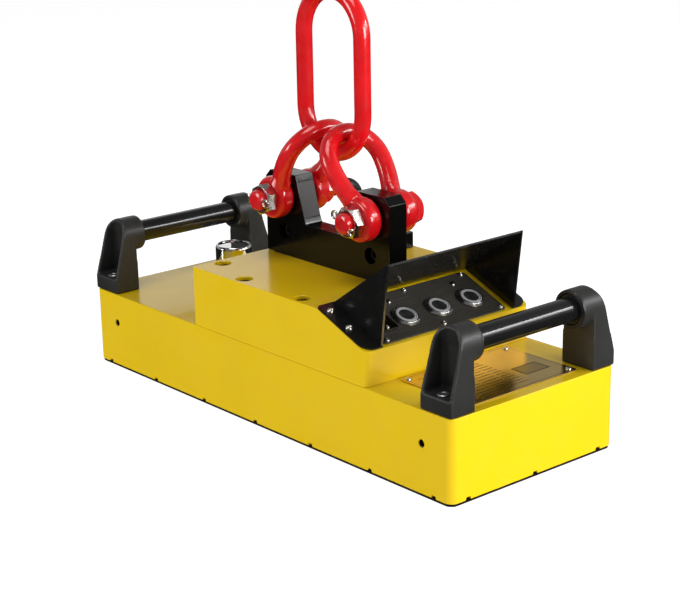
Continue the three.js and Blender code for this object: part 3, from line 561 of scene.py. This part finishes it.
def round_edges(made, width, segments=2, angle=32):
    step = made.modifiers.new("edges", "BEVEL")
    step.width, step.segments = width * MM, segments
    step.limit_method, step.angle_limit = "ANGLE", math.radians(angle)
    step.miter_outer = "MITER_ARC"
    return bake(made)


def soften(made, voxel, rounds):
    """Melts a mesh into one skin with soft edges, as a forging or a moulding has."""
    step = made.modifiers.new("skin", "REMESH")
    step.mode, step.voxel_size = "VOXEL", voxel * MM
    step = made.modifiers.new("flow", "SMOOTH")
    step.factor, step.iterations = 0.5, rounds
    return bake(made)


def shade(made, angle=38, weighted=True):
    mesh = made.data
    mesh.polygons.foreach_set("use_smooth", [True] * len(mesh.polygons))
    mesh.set_sharp_from_angle(angle=math.radians(angle))
    if weighted:
        step = made.modifiers.new("normals", "WEIGHTED_NORMAL")
        step.keep_sharp, step.weight = True, 90
    return made


def finish(made, materials, slot, body="magnet_body", stands_for=()):
    polygons = made.data.polygons
    bands = [0] * len(polygons)
    polygons.foreach_get("material_index", bands)
    made.data.materials.clear()
    for material in materials if isinstance(materials, list) else [materials]:
        made.data.materials.append(material)
    if isinstance(materials, list):
        polygons.foreach_set("material_index", bands)
    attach(made, body)
    if stands_for:
        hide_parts(*([stands_for] if isinstance(stands_for, str) else stands_for))
    return made


def shift(x, y, z):
    return Matrix.Translation(Vector((x, y, z)) * MM)


def turn(degrees, axis):
    return Matrix.Rotation(math.radians(degrees), 4, axis)


Z_TO_Y = turn(-90, "X")


# ---- housings ------------------------------------------------------------------------------------
HALF_L, HALF_W, DECK, BOTTOM = 300, 115, 89, 3
CREST, COVER_TOP, COVER_REAR, COVER_FRONT, SLOPE = 106, 155, -103, 180.3, 21.8
FLOOR = DECK + 0.3
SLOPE_FRAME = shift(CREST, 0, COVER_TOP) @ turn(SLOPE, "Y")
LEG_X, LEG_IN, TUBE_Z = 278, 83, 152.3
ACCESS_HOLES = [(-90, 83), (-26, 103), (70, 103)]


def lower_housing():
    plan = rounded(-HALF_L, HALF_L, -HALF_W, HALF_W, [9] * 4, 10)
    shell = round_edges(prism("housing_shell", plan, BOTTOM - 2, DECK), 1.1, 3)
    tools = [block("t", -400, 400, -400, 400, BOTTOM - 20, BOTTOM),
             block("t", -292, 292, -107, 107, BOTTOM - 1, 79)]
    for k in range(-3, 4):
        c = k * 92
        notch = [(c - 4, 2), (c + 4, 2), (c + 2.5, 6), (c - 2.5, 6)]
        tools.append(prism("t", notch, -140, 140, "Y"))
        if abs(k) < 2:
            tools.append(prism("t", notch, -320, 320, "X"))
    for sx in (-1, 1):
        for sy in (-1, 1):
            bore = lathe("t", [(0, 0), (4, 0), (4, 5.3), (4.6, 6.1), (4.6, 8), (0, 8)], 28)
            tools.append(place(bore, shift(sx * 259, sy * (HALF_W - 6), 54.5) @ turn(-90 * sy, "X")))
    combine(shell, tools)
    finish(shade(shell), FIN["yellow"], "yellow_powder_coat", stands_for="lower_housing")
    places = (("front_right", 1, -1), ("front_left", -1, -1), ("rear_right", 1, 1), ("rear_left", -1, 1))
    # The dark liner in each side hole is painted shade: shadow black stands in for the shade inside the bore.
    for name, sx, sy in places:
        rings = [(0, -0.1), (3.9, -0.1), (3.9, 4.9), (3.3, 4.6), (3.3, 0.3), (0, 0.3)]
        hole_shade = lathe(f"side_hole_shade_liner_{name}", rings, 28)
        place(hole_shade, shift(sx * 259, sy * (HALF_W - 6), 54.5) @ turn(-90 * sy, "X"))
        finish(shade(hole_shade, 40), FIN["dark"], "black_steel")


def cover_profile(inset):
    angle = math.radians(SLOPE)
    top, front = COVER_TOP - inset, COVER_FRONT - inset
    crest = CREST - inset * math.tan(angle / 2)
    bottom = FLOOR - (1 if inset else 0)
    return [(COVER_REAR + inset, bottom), (front, bottom), (front, top - (front - crest) * math.tan(angle)),
            (crest, top), (COVER_REAR + inset, top)]


def upper_housing():
    plan = rounded(COVER_REAR, COVER_FRONT, -HALF_W, HALF_W, [2, 7, 7, 2], 6)
    cover = prism("cover_shell", plan, FLOOR, COVER_TOP)
    combine(cover, [prism("t", cover_profile(0), -140, 140, "Y")], "INTERSECT")
    round_edges(cover, 0.9, 3, 18)
    tools = [prism("t", cover_profile(4), -HALF_W + 4, HALF_W - 4, "Y"),
             block("t", -89.3, 91.3, -12.3, 12.3, 140, 160)]
    for x, y in ACCESS_HOLES:
        for s in (-1, 1):
            bore = lathe("t", [(0, 148), (9, 148), (9, 154.3), (9.9, 155.2), (9.9, 158), (0, 158)], 36)
            tools.append(place(bore, shift(x, s * y, 0)))
    tools.append(place(block("t", 14, 68, -85, 81, -8, 2), SLOPE_FRAME))
    combine(cover, tools)
    finish(shade(cover, 30), FIN["yellow"], "yellow_powder_coat", stands_for="upper_housing")
    # Each access hole leads down a sleeve in shadow black, painted shade for the dark well, to the socket
    # screw that holds the cover down.
    for i, (x, y) in enumerate(ACCESS_HOLES):
        for side, s in (("front", -1), ("rear", 1)):
            at = shift(x, s * y, 0)
            rings = [(7.4, 116), (7.4, 150.8), (8.6, 150.8), (8.6, 116)]
            well = lathe(f"access_shade_sleeve_{side}_{i + 1}", rings, 32)
            finish(shade(place(well, at)), FIN["dark"], "satin_black_paint")
            seat = socket_screw(f"cover_screw_{side}_{i + 1}", 13, 8, 6, 2)
            finish(shade(place(seat, at @ shift(0, 0, 117)), 30), FIN["zinc"], "zinc_plate")


def socket_screw(name, head, height, key, shank):
    r = head / 2
    rings = [(0, -shank), (r * 0.6, -shank), (r * 0.6, 0), (r - 0.5, 0), (r, 0.5), (r, height - 0.8),
             (r - 0.8, height), (key * 0.62, height), (key, height - 0.5, key), (key, height * 0.45, key),
             (0, height * 0.35)]
    return lathe(name, rings, 48)


def dome_screw(name, head, height, key):
    r = head / 2
    rings = [(0, -2), (r * 0.5, -2), (r * 0.5, 0), (r, 0), (r, height * 0.12), (r * 0.93, height * 0.5),
             (r * 0.78, height * 0.8), (r * 0.56, height), (key * 0.6, height), (key, height - 0.2, key),
             (key, height * 0.4, key), (0, height * 0.3)]
    return lathe(name, rings, 48)


def cross_screw(name, head, height):
    """A pan-head screw with a shallow dimple where the driver goes."""
    r = head / 2
    rings = [(0, -1.2), (r * 0.5, -1.2), (r * 0.5, 0), (r, 0), (r, height * 0.25), (r * 0.88, height * 0.7),
             (r * 0.62, height * 0.95), (r * 0.3, height), (r * 0.22, height * 0.75), (0, height * 0.45)]
    return lathe(name, rings, 32)


# ---- hood and panel ------------------------------------------------------------------------------
FACE = 0.3 + 2 + 0.3
BUTTON_S, BUTTON_Y = 49.5, [-36, 9.5, 55]
GAUGE = (44, -70.5)
LAMP_S = 21.5


def control_hood():
    sheet, y, apex, foot = 2, 92, (56, 84), 0.3
    length = math.hypot(*apex)
    lean = (apex[0] / length, (apex[1] - foot) / length)
    back = [(0, foot), (sheet / lean[1], foot), (apex[0] + lean[1] * sheet, apex[1] - lean[0] * sheet), apex]
    hood = prism("hood_sheet", back, -y, y, "Y")
    parts = []
    for sign in (-1, 1):
        inner, outer, edge = sign * (y - 0.5), sign * (y + sheet), sign * (y + 22)
        low, high = sorted((inner, outer))
        parts.append(prism("t", [(0, foot), (79, foot), (apex[0] + 1, apex[1]), apex], low, high, "Y"))
        low, high = sorted((inner, edge))
        radii = [0, 0, 13, 3] if sign > 0 else [3, 13, 0, 0]
        parts.append(prism("t", rounded(0, 79, low, high, radii, 8), foot, foot + sheet))
    combine(hood, parts, "UNION")
    round_edges(hood, 0.45, 2, 28)
    place(hood, SLOPE_FRAME)
    finish(shade(hood, 40), FIN["hood"], "satin_black_paint", stands_for="control_hood")
    for i, s in enumerate((13, 43)):
        for side, sign in (("front", -1), ("rear", 1)):
            screw = dome_screw(f"hood_button_head_{side}_{i + 1}", 8, 2.6, 3)
            place(screw, SLOPE_FRAME @ shift(s, sign * 106.5, 2.6))
            finish(shade(screw, 32), FIN["zinc"], "zinc_plate", stands_for=f"hood_screw_{side}_{i + 1}")


def control_panel():
    panel = prism("panel_sheet", rounded(7, 77, -87, 83, [4] * 4, 8), 0.3, 2.3)
    tools = []
    for y in BUTTON_Y:
        tools.append(place(lathe("t", [(0, -1), (12.2, -1), (12.2, 4), (0, 4)], 40), shift(BUTTON_S, y, 0)))
    round_edges(panel, 0.35, 2)
    combine(panel, tools)
    place(panel, SLOPE_FRAME)
    finish(shade(panel), FIN["film"], "panel_film", stands_for="control_panel")

    for k, y in enumerate(BUTTON_Y):
        at = SLOPE_FRAME @ shift(BUTTON_S, y, FACE)
        # Outer bevelled flange, black seal band, light ring, inner bore.
        rings = [(12, -22), (12, -0.1), (14.6, 0), (15, 0.35), (14.85, 0.9), (13.4, 3.1), (13.0, 3.4),
                 (12.5, 3.4), (12.2, 3.1), (11.7, 3.1), (11.5, 3.6), (11.3, 3.85), (10.6, 3.95),
                 (10.42, 3.85), (10.4, 3.0), (10.4, -22)]
        bands = [0, 0, 0, 0, 0, 0, 0, 1, 1, 2, 2, 2, 2, 2, 1, 1]
        ring = lathe(f"button_flange_{k + 1}", rings, 64, bands)
        ring.matrix_world = at
        finish(shade(ring, 50), [FIN["ring"], FIN["seal"], FIN["light_ring"]], "chrome_plate",
               stands_for=f"button_ring_{k + 1}")
        rings = [(0, -10), (5, -10), (5, -5.9), (10, -5.8), (10, 3.2), (9.8, 3.5), (8.6, 3.6), (8.3, 3.4),
                 (8, 3.35), (3, 3.28), (0, 3.27)]
        bands = [1, 1, 1, 1, 0, 0, 0, 1, 2, 2]
        cap = lathe(f"button_cap_{k + 1}", rings, 64, bands)
        cap.matrix_world = at
        finish(shade(cap, 50), [FIN["light_ring"], FIN["seal"], FIN["centre"]], "machined_steel",
               body=f"push_button_{k + 1}", stands_for=f"push_button_{k + 1}")

    for i, k in enumerate((0, 2)):
        at = SLOPE_FRAME @ shift(LAMP_S, BUTTON_Y[k], FACE)
        rings = [(0, -6), (2.2, -6), (2.2, 0), (3.2, 0), (3.2, 0.5), (2.75, 1.0), (2.5, 0.95), (2.3, 1.6),
                 (1.7, 2.1), (0.9, 2.35), (0, 2.4)]
        lamp = lathe(f"lamp_dome_{i + 1}", rings, 32, [1, 1, 1, 1, 1, 1, 0, 0, 0, 0])
        lamp.matrix_world = at
        finish(shade(lamp, 50), [FIN["smoked"], FIN["chrome"]], "lamp_lens",
               stands_for=f"indicator_lamp_{i + 1}")

    gauge = prism("gauge_bezel", rounded(-19, 19, -14, 14, [3] * 4, 6), 0, 2.6)
    round_edges(gauge, 0.7, 3)
    combine(gauge, [block("t", -7, 3, -9, 9, 1.8, 5)])
    place(gauge, SLOPE_FRAME @ shift(*GAUGE, FACE))
    finish(shade(gauge), FIN["gloss"], "gloss_black_paint", stands_for="battery_gauge")
    for k in range(5):
        low = -8 + 3.3 * k
        cell = round_edges(block(f"gauge_cell_{k + 1}", -6, 2, low, low + 2.7, 1.7, 2.1), 0.15, 1)
        place(cell, SLOPE_FRAME @ shift(*GAUGE, FACE))
        finish(shade(cell), FIN["lens"], "lamp_lens")

    spots = [(11, -80, 2.3), (11, -6, 2.3), (11, 76, 2.3), (73.3, -82, 2.3), (73.3, -4, 2.3), (73.3, 77, 2.3),
             (59, -70.5, FACE + 2.6)]
    for k, (s, y, n) in enumerate(spots):
        screw = cross_screw(f"panel_screw_{k + 1}", 5.4 if n > 3 else 6.2, 2.2)
        place(screw, SLOPE_FRAME @ shift(s, y, n))
        finish(shade(screw), FIN["zinc"], "zinc_plate")


# ---- lifting lug ---------------------------------------------------------------------------------
LUG_X, LUG_HALF_Y, PIN_Z, PIN_DX, CROSS_BOLT_Z = 1, 12, 223, 71.5, 182


def lifting_lug():
    right = [(90, 89.3), (90, 155.3), (102, 155.3), (102, 240), (94, 248), (50, 248), (47.4, 240),
             (37, 202.5), (34, 195.5)]
    outline = [(LUG_X + x, z) for x, z in right] + [(LUG_X - x, z) for x, z in reversed(right)]
    lug = prism("lug_plate", outline, -LUG_HALF_Y, LUG_HALF_Y, "Y")
    round_edges(lug, 0.8, 2, 12)
    tools = []
    for s in (-1, 1):
        bore = [(0, 0), (13.3, 0), (12.5, 0.8), (12.5, 25.2), (13.3, 26), (0, 26)]
        tools.append(place(lathe("t", bore, 48), shift(LUG_X + s * PIN_DX, -13, PIN_Z) @ Z_TO_Y))
        bore = [(0, -1), (9.8, -1), (9.8, 0.2), (9, 1.0), (9, 14), (0, 14)]
        tools.append(place(lathe("t", bore, 40), shift(LUG_X + s * PIN_DX, -13, CROSS_BOLT_Z) @ Z_TO_Y))
    combine(lug, tools)
    shade(lug, 30)
    finish(lug, [FIN["gloss"], FIN["brushed"]], "gloss_black_paint", stands_for="lifting_lug")
    # The leaning inner faces of the ears are left as milled.
    for face in lug.data.polygons:
        c = face.center / MM
        if 203.5 < c.z < 239 and 30 < abs(c.x - LUG_X) < 50 and abs(face.normal.x) > 0.9:
            face.material_index = 1
    for name, s in (("left", -1), ("right", 1)):
        rings = [(0, 0), (7.6, 0, 13), (7.6, 5, 13), (6.6, 6, 13), (4, 6), (4.6, 5.7, 8), (4.6, 2, 8),
                 (0, 1.6)]
        at = shift(LUG_X + s * PIN_DX, 0.8, CROSS_BOLT_Z) @ turn(90, "X")
        bolt = place(lathe(f"cross_bolt_{name}", rings, 48), at)
        finish(shade(bolt, 30), FIN["satin"], "satin_black_paint", stands_for=f"lug_cross_bolt_{name}")


def rear_rest():
    stop = round_edges(prism("stop_block", rounded(-15, 8, 94, 110, [2] * 4, 5), 155.3, 173.3), 0.9, 3)
    finish(shade(stop), FIN["gloss"], "gloss_black_paint", stands_for="rear_stop_block")
    x, y, top, bend = -69, 91, 219, 16
    path = [(x, y, 155.3 + 4 * k) for k in range(12)]
    path += [(x, y - bend + bend * math.cos(a), top - bend + bend * math.sin(a))
             for a in (math.pi / 2 * k / 12 for k in range(13))]
    path += [(x, y - bend - 3 * k, top) for k in range(1, 6)] + [(x, 56, top)]
    arm = tube("rest_arm", path, 9, 32, dome=2.6)
    foot = lathe("t", [(0, 0), (12, 0), (12, 3.2), (11.2, 4), (0, 4)], 40)
    combine(arm, [place(foot, shift(x, y, 155.3))], "UNION")
    finish(shade(arm, 30), FIN["satin"], "satin_black_paint", stands_for="rear_rest_arm")


# ---- shackles and link ---------------------------------------------------------------------------
RIG_Y = 2.5
BOW_R, BOW_CENTRE, EYE_R, EYE_WIDTH, JAW = 35, 62.8, 23.5, 19, 32
BOW_BAR_R, LINK_HALF, LINK_BAR_R, LINK_STRAIGHT = 9.5, 46.5, 9, 78
EYE_Y = (JAW + EYE_WIDTH) / 2
EYE_FACE = JAW / 2 + EYE_WIDTH
# The pin, the bow's crown and the centre of the link's lower arc lie on one line.
TAUT = BOW_R + BOW_CENTRE + LINK_HALF - LINK_BAR_R - BOW_BAR_R - 0.6
TILT = math.degrees(math.asin(PIN_DX / TAUT))


def bezier(p0, p1, p2, p3, steps):
    for i in range(steps + 1):
        t = i / steps
        yield p0 * (1 - t) ** 3 + 3 * p1 * t * (1 - t) ** 2 + 3 * p2 * t * t * (1 - t) + p3 * t ** 3


def bow(name):
    """A forged bow: the bar and the two eyes flow into one another."""
    eye_end, bow_end = Vector((0, -EYE_Y, 4)), Vector((0, -BOW_R, BOW_CENTRE))
    leg = list(bezier(eye_end, Vector((0, -EYE_Y, 26)), Vector((0, -BOW_R, 36)), bow_end, 14))
    crown = [Vector((0, BOW_R * math.cos(a), BOW_CENTRE + BOW_R * math.sin(a)))
             for a in (math.pi * (1 - k / 26) for k in range(1, 26))]
    path = leg + crown + [Vector((0, -p.y, p.z)) for p in reversed(leg)]
    made = tube(name, path, lambda t: 10.2 - 0.75 * math.sin(math.pi * t) ** 2, 24)
    parts = []
    for s in (-1, 1):
        edge = [(0, 0), (19.5, 0), (21.6, 0.9), (23, 2.9), (EYE_R, 5.5)]
        eye = lathe("t", edge + [(r, EYE_WIDTH - z) for r, z in reversed(edge)], 48)
        parts.append(place(eye, shift(0, JAW / 2 if s > 0 else -EYE_FACE, 0) @ Z_TO_Y))
        neck = lathe("t", [(0, -4), (15, -4), (13.4, 7), (10.2, 17), (6, 24), (0, 24)], 32)
        parts.append(place(neck, shift(0, s * EYE_Y, 12) @ Matrix.Diagonal((1, 0.62, 1, 1))))
    combine(made, parts, "UNION")
    soften(made, 1.15, 12)
    jaw = block("t", -60, 60, -JAW / 2, JAW / 2, -60, 11)
    bore = place(lathe("t", [(0, -60), (11.4, -60), (11.4, 60), (0, 60)], 40), Z_TO_Y)
    seats = [place(lathe("t", [(0, 0), (18.8, 0), (18.8, 20), (0, 20)], 48), shift(0, y, 0) @ Z_TO_Y)
             for y in (EYE_FACE, -EYE_FACE - 20)]
    combine(made, [jaw, bore, *seats])
    return made


def shackle(side, sign, cotter_turn):
    body = f"shackle_{side}"
    base = shift(LUG_X + sign * PIN_DX, RIG_Y, PIN_Z) @ turn(-sign * TILT, "Y")
    made = place(bow(f"bow_forging_{side}"), base)
    paint = FIN["cast" if sign > 0 else "red"]
    finish(shade(made, 50, False), paint, "red_enamel", body, f"shackle_bow_{side}")

    spun = base @ turn(cotter_turn, "Y")
    head = [(11, 35.3), (15.4, 35.3), (16.6, 35.6, 32), (18.6, 36.6, 32), (18.6, 45.4, 32),
            (17.6, 46.4, 32), (16.6, 47.3, 32), (15.6, 48.1, 32), (14.8, 48.3), (0, 48.3)]
    rings = [(0, -55.3), (5.5, -55.1), (8.6, -54.6), (10.2, -53.6), (10.8, -52.4), (11, -50.5), *head]
    pin = place(lathe(f"pin_bolt_{side}", rings, 48), spun @ turn(30, "Y") @ Z_TO_Y)
    finish(shade(pin, 30), FIN["cast"], "red_enamel", body, f"shackle_pin_{side}")

    corners = [(17.32 * math.cos(a), 17.32 * math.sin(a)) for a in (math.pi * k / 3 for k in range(6))]
    nut = prism(f"hex_nut_{side}", corners, -47.3, -35.3)
    chamfered = [(0, -47.3), (14.6, -47.3), (17.6, -45.6), (17.6, -37), (14.6, -35.3), (0, -35.3)]
    combine(nut, [lathe("t", chamfered, 64)], "INTERSECT")
    bore = lathe("t", [(0, -49), (12.9, -49), (12.9, -47.2), (11.35, -45.8), (11.35, -34), (0, -34)], 48)
    combine(nut, [bore])
    round_edges(nut, 0.25, 2, 20)
    place(nut, spun @ Z_TO_Y)
    finish(shade(nut, 30), FIN["zinc"], "zinc_plate", body, f"shackle_nut_{side}")

    leg_a = [(-3.8, -15.4), (-2.4, -13.6), (-1.35, -11.8), (-1.2, -10)]
    leg_b = [(1.2, -10), (1.5, -11.8), (3.0, -13.4), (5.0, -14.6)]
    loop = [(3.7 * math.sin(a), 15.2 - 3.7 * math.cos(a)) for a in
            (math.radians(-19 - 322 * k / 22) for k in range(23))]
    line = leg_a + [(-1.2, 0), (-1.2, 9), (-1.2, 11)] + loop + [(1.2, 11), (1.2, 9), (1.2, 0)] + leg_b
    cotter = tube(f"cotter_wire_{side}", [(x, -51.3, z) for x, z in line], 1.35, 12, dome=0.6)
    finish(shade(place(cotter, spun), 60, False), FIN["zinc"], "zinc_plate", body, f"cotter_pin_{side}")


def master_link():
    low = PIN_Z + TAUT * math.cos(math.radians(TILT))
    high, half = low + LINK_STRAIGHT, LINK_HALF
    path = [(half * math.cos(a), high + half * math.sin(a)) for a in (math.pi * k / 28 for k in range(29))]
    path += [(-half, high - LINK_STRAIGHT * k / 8) for k in range(1, 8)]
    path += [(-half * math.cos(a), low - half * math.sin(a)) for a in (math.pi * k / 28 for k in range(29))]
    path += [(half, low + LINK_STRAIGHT * k / 8) for k in range(1, 8)]
    link = tube("link_bar", [(x + LUG_X, RIG_Y, z) for x, z in path], LINK_BAR_R, 28, closed=True)
    finish(shade(link, 60, False), FIN["red"], "red_enamel", "master_link", "master_link")


# ---- handles -------------------------------------------------------------------------------------
LEG_ARCH_Z, LEG_ARCH_R, LEG_HALF, PLINTH_Z = 63, 20, 21.5, 15


def tombstone(inset, foot):
    """The leg's front outline: a plinth, then straight sides up to the arch round the grip tube."""
    half = LEG_HALF - inset
    points = [(-half, foot), (half, foot)]
    if foot < PLINTH_Z:
        points.append((half, PLINTH_Z))
    points += arc(0, LEG_ARCH_Z, LEG_ARCH_R - inset, 0, 180, 16)
    if foot < PLINTH_Z:
        points.append((-half, PLINTH_Z))
    return points


def handle_leg():
    """One leg, with its inner face on y = 0 and its foot on z = 0; it grows along +Y."""
    side = [(0, 0), (31.5, 0), (31.5, PLINTH_Z), (16, 71), (14, 76.5), (10, 84), (0, 84)]
    leg = prism("leg", side, -30, 30, "X")
    combine(leg, [prism("t", tombstone(0, 0), -1, 40, "Y")], "INTERSECT")
    sleeve = lathe("t", [(0, -14), (18.8, -14), (20, -12.8), (20, 2), (0, 2)], 64)
    combine(leg, [place(sleeve, shift(0, 0, LEG_ARCH_Z) @ Z_TO_Y)], "UNION")
    hollow = prism("t", tombstone(3.8, 17), 5.5, 50, "Y")
    # The pocket's back wall leans outward near the top.
    depth = prism("t", [(5.5, 0), (60, 0), (60, 84), (12, 84), (5.5, 62)], -30, 30, "X")
    combine(hollow, [depth], "INTERSECT")
    combine(leg, [hollow])
    soften(leg, 1.1, 7)
    well = place(lathe("t", [(0, 10), (7.2, 10), (7.2, 20), (0, 20)], 40), shift(0, 21, 0))
    bores = [lathe("t", [(0, -15), (12.9, -15), (12.9, 4), (0, 4)], 48),
             lathe("t", [(0, -16), (16.8, -16), (16.8, -13.9), (16, -13.2), (15.6, -11), (0, -11)], 64)]
    return combine(leg, [well, *(place(b, shift(0, 0, LEG_ARCH_Z) @ Z_TO_Y) for b in bores)])


def handles():
    leg = handle_leg()
    for sx, end in ((1, "right"), (-1, "left")):
        for sy, side in ((1, "rear"), (-1, "front")):
            name = f"{side}_{end}"
            copy = bpy.data.objects.new(f"leg_moulding_{name}", leg.data.copy())
            bpy.context.scene.collection.objects.link(copy)
            place(copy, shift(sx * LEG_X, sy * LEG_IN, FLOOR) @ Matrix.Diagonal((1, sy, 1, 1)))
            finish(shade(copy, 50, False), FIN["moulded"], "charcoal_moulding",
                   stands_for=f"handle_leg_{name}")
            screw = socket_screw(f"leg_socket_screw_{name}", 13, 8, 6.5, 3)
            place(screw, shift(sx * LEG_X, sy * (LEG_IN + 21), FLOOR + 10.3))
            finish(shade(screw, 30), FIN["steel"], "machined_steel", stands_for=f"leg_screw_{name}")
        rings = [(10, -83.5), (12.2, -83.5), (12.5, -83.2), (12.5, 83.2), (12.2, 83.5), (10, 83.5)]
        bar = place(lathe(f"grip_bar_{end}", rings, 64), shift(sx * LEG_X, 0, TUBE_Z) @ Z_TO_Y)
        finish(shade(bar, 30), FIN["tube"], "black_tube", stands_for=f"grip_tube_{end}")
        for side, sy in (("front", -1), ("rear", 1)):
            rings = [(12.65, 0), (15.4, 0), (15.6, 0.2), (15.6, 1.4), (15.2, 1.8), (12.65, 1.8)]
            ring = lathe(f"boss_ring_{side}_{end}", rings, 64)
            place(ring, shift(sx * LEG_X, sy * 71.9, TUBE_Z) @ turn(90 * sy, "X"))
            finish(shade(ring, 40), FIN["seal"], "black_tube")
            turns = (math.pi * k / 32 for k in range(64))
            around = [(19.0 * math.cos(a), 19.0 * math.sin(a), 0.75) for a in turns]
            bead = tube(f"boss_bead_{side}_{end}", around, 0.75, 10, closed=True)
            place(bead, shift(sx * LEG_X, sy * 69, TUBE_Z) @ turn(-90 * sy, "X"))
            finish(shade(bead, 60, False), FIN["tube"], "charcoal_moulding")
    bpy.data.objects.remove(leg)


# ---- deck fittings -------------------------------------------------------------------------------
def name_plate():
    plate = prism("plate_sheet", rounded(185, 286, -75, 75, [4] * 4, 8), FLOOR, FLOOR + 1)
    round_edges(plate, 0.25, 1)
    finish(shade(plate), FIN["plate"], "nameplate_bronze", stands_for="name_plate")
    for k, (x, y) in enumerate(((191.5, -68.5), (279.5, -68.5), (191.5, 68.5), (279.5, 68.5))):
        screw = place(cross_screw(f"plate_screw_{k + 1}", 6.4, 2.0), shift(x, y, FLOOR + 1))
        finish(shade(screw), FIN["zinc"], "zinc_plate")


def charging_point():
    at = shift(-259, 58.5, 0)
    rings = [(8, 89.4), (23.6, 89.3), (24, 89.7), (24, 92.0), (23.2, 92.8), (18.5, 92.8), (18.5, 101.5),
             (18, 101.8), (8.4, 101.8), (8, 101.4)]
    socket = place(lathe("socket_flange", rings, 64), at)
    finish(shade(socket, 40), FIN["chrome"], "chrome_plate", stands_for="charging_socket")
    rings = [(19.1, 93.1), (21.3, 93.1), (21.8, 93.5), (21.8, 95.2), (21.2, 95.8), (21.2, 96.6), (22.1, 97.2),
             (22.4, 98), (22.4, 113), (22.1, 114.6), (21.4, 116), (20.6, 116.8), (19.9, 117), (19.3, 116.6),
             (18.6, 115.1), (17.4, 114.8), (8, 114.7), (0, 114.7)]
    cap = lathe("cap_shell", [(0, 103.1), (19.1, 103.1), *rings], 64)
    finish(shade(place(cap, at), 50), FIN["chrome"], "chrome_plate", "charging_cap", "charging_cap")


# ---- carried-over nodes --------------------------------------------------------------------------
def dress_nodes():
    looks = {"base_plate": "base", "yoke_plate": "steel", "battery_pack": "battery",
             "controller_board": "board", "lug_bolt_left": "steel", "lug_bolt_right": "steel"}
    for k in (1, 2, 3):
        looks[f"pole_shoe_{k}"] = "steel"
        looks[f"magnet_core_{k}"] = "base"
        looks[f"switching_coil_{k}"] = "copper"
    for name, node in nodes.items():
        if node.hide_render:
            continue
        look = FIN[looks.get(name, "steel")]
        if not node.material_slots:
            node.data.materials.append(look)
        for slot in node.material_slots:
            slot.material = look


make_camera()
make_studio()
make_floor()
bpy.context.scene.view_settings.view_transform = "Standard"
FIN = make_finishes()
lower_housing()
upper_housing()
control_hood()
control_panel()
lifting_lug()
rear_rest()
shackle("left", -1, 60)
shackle("right", 1, -25)
master_link()
handles()
name_plate()
charging_point()
dress_nodes()
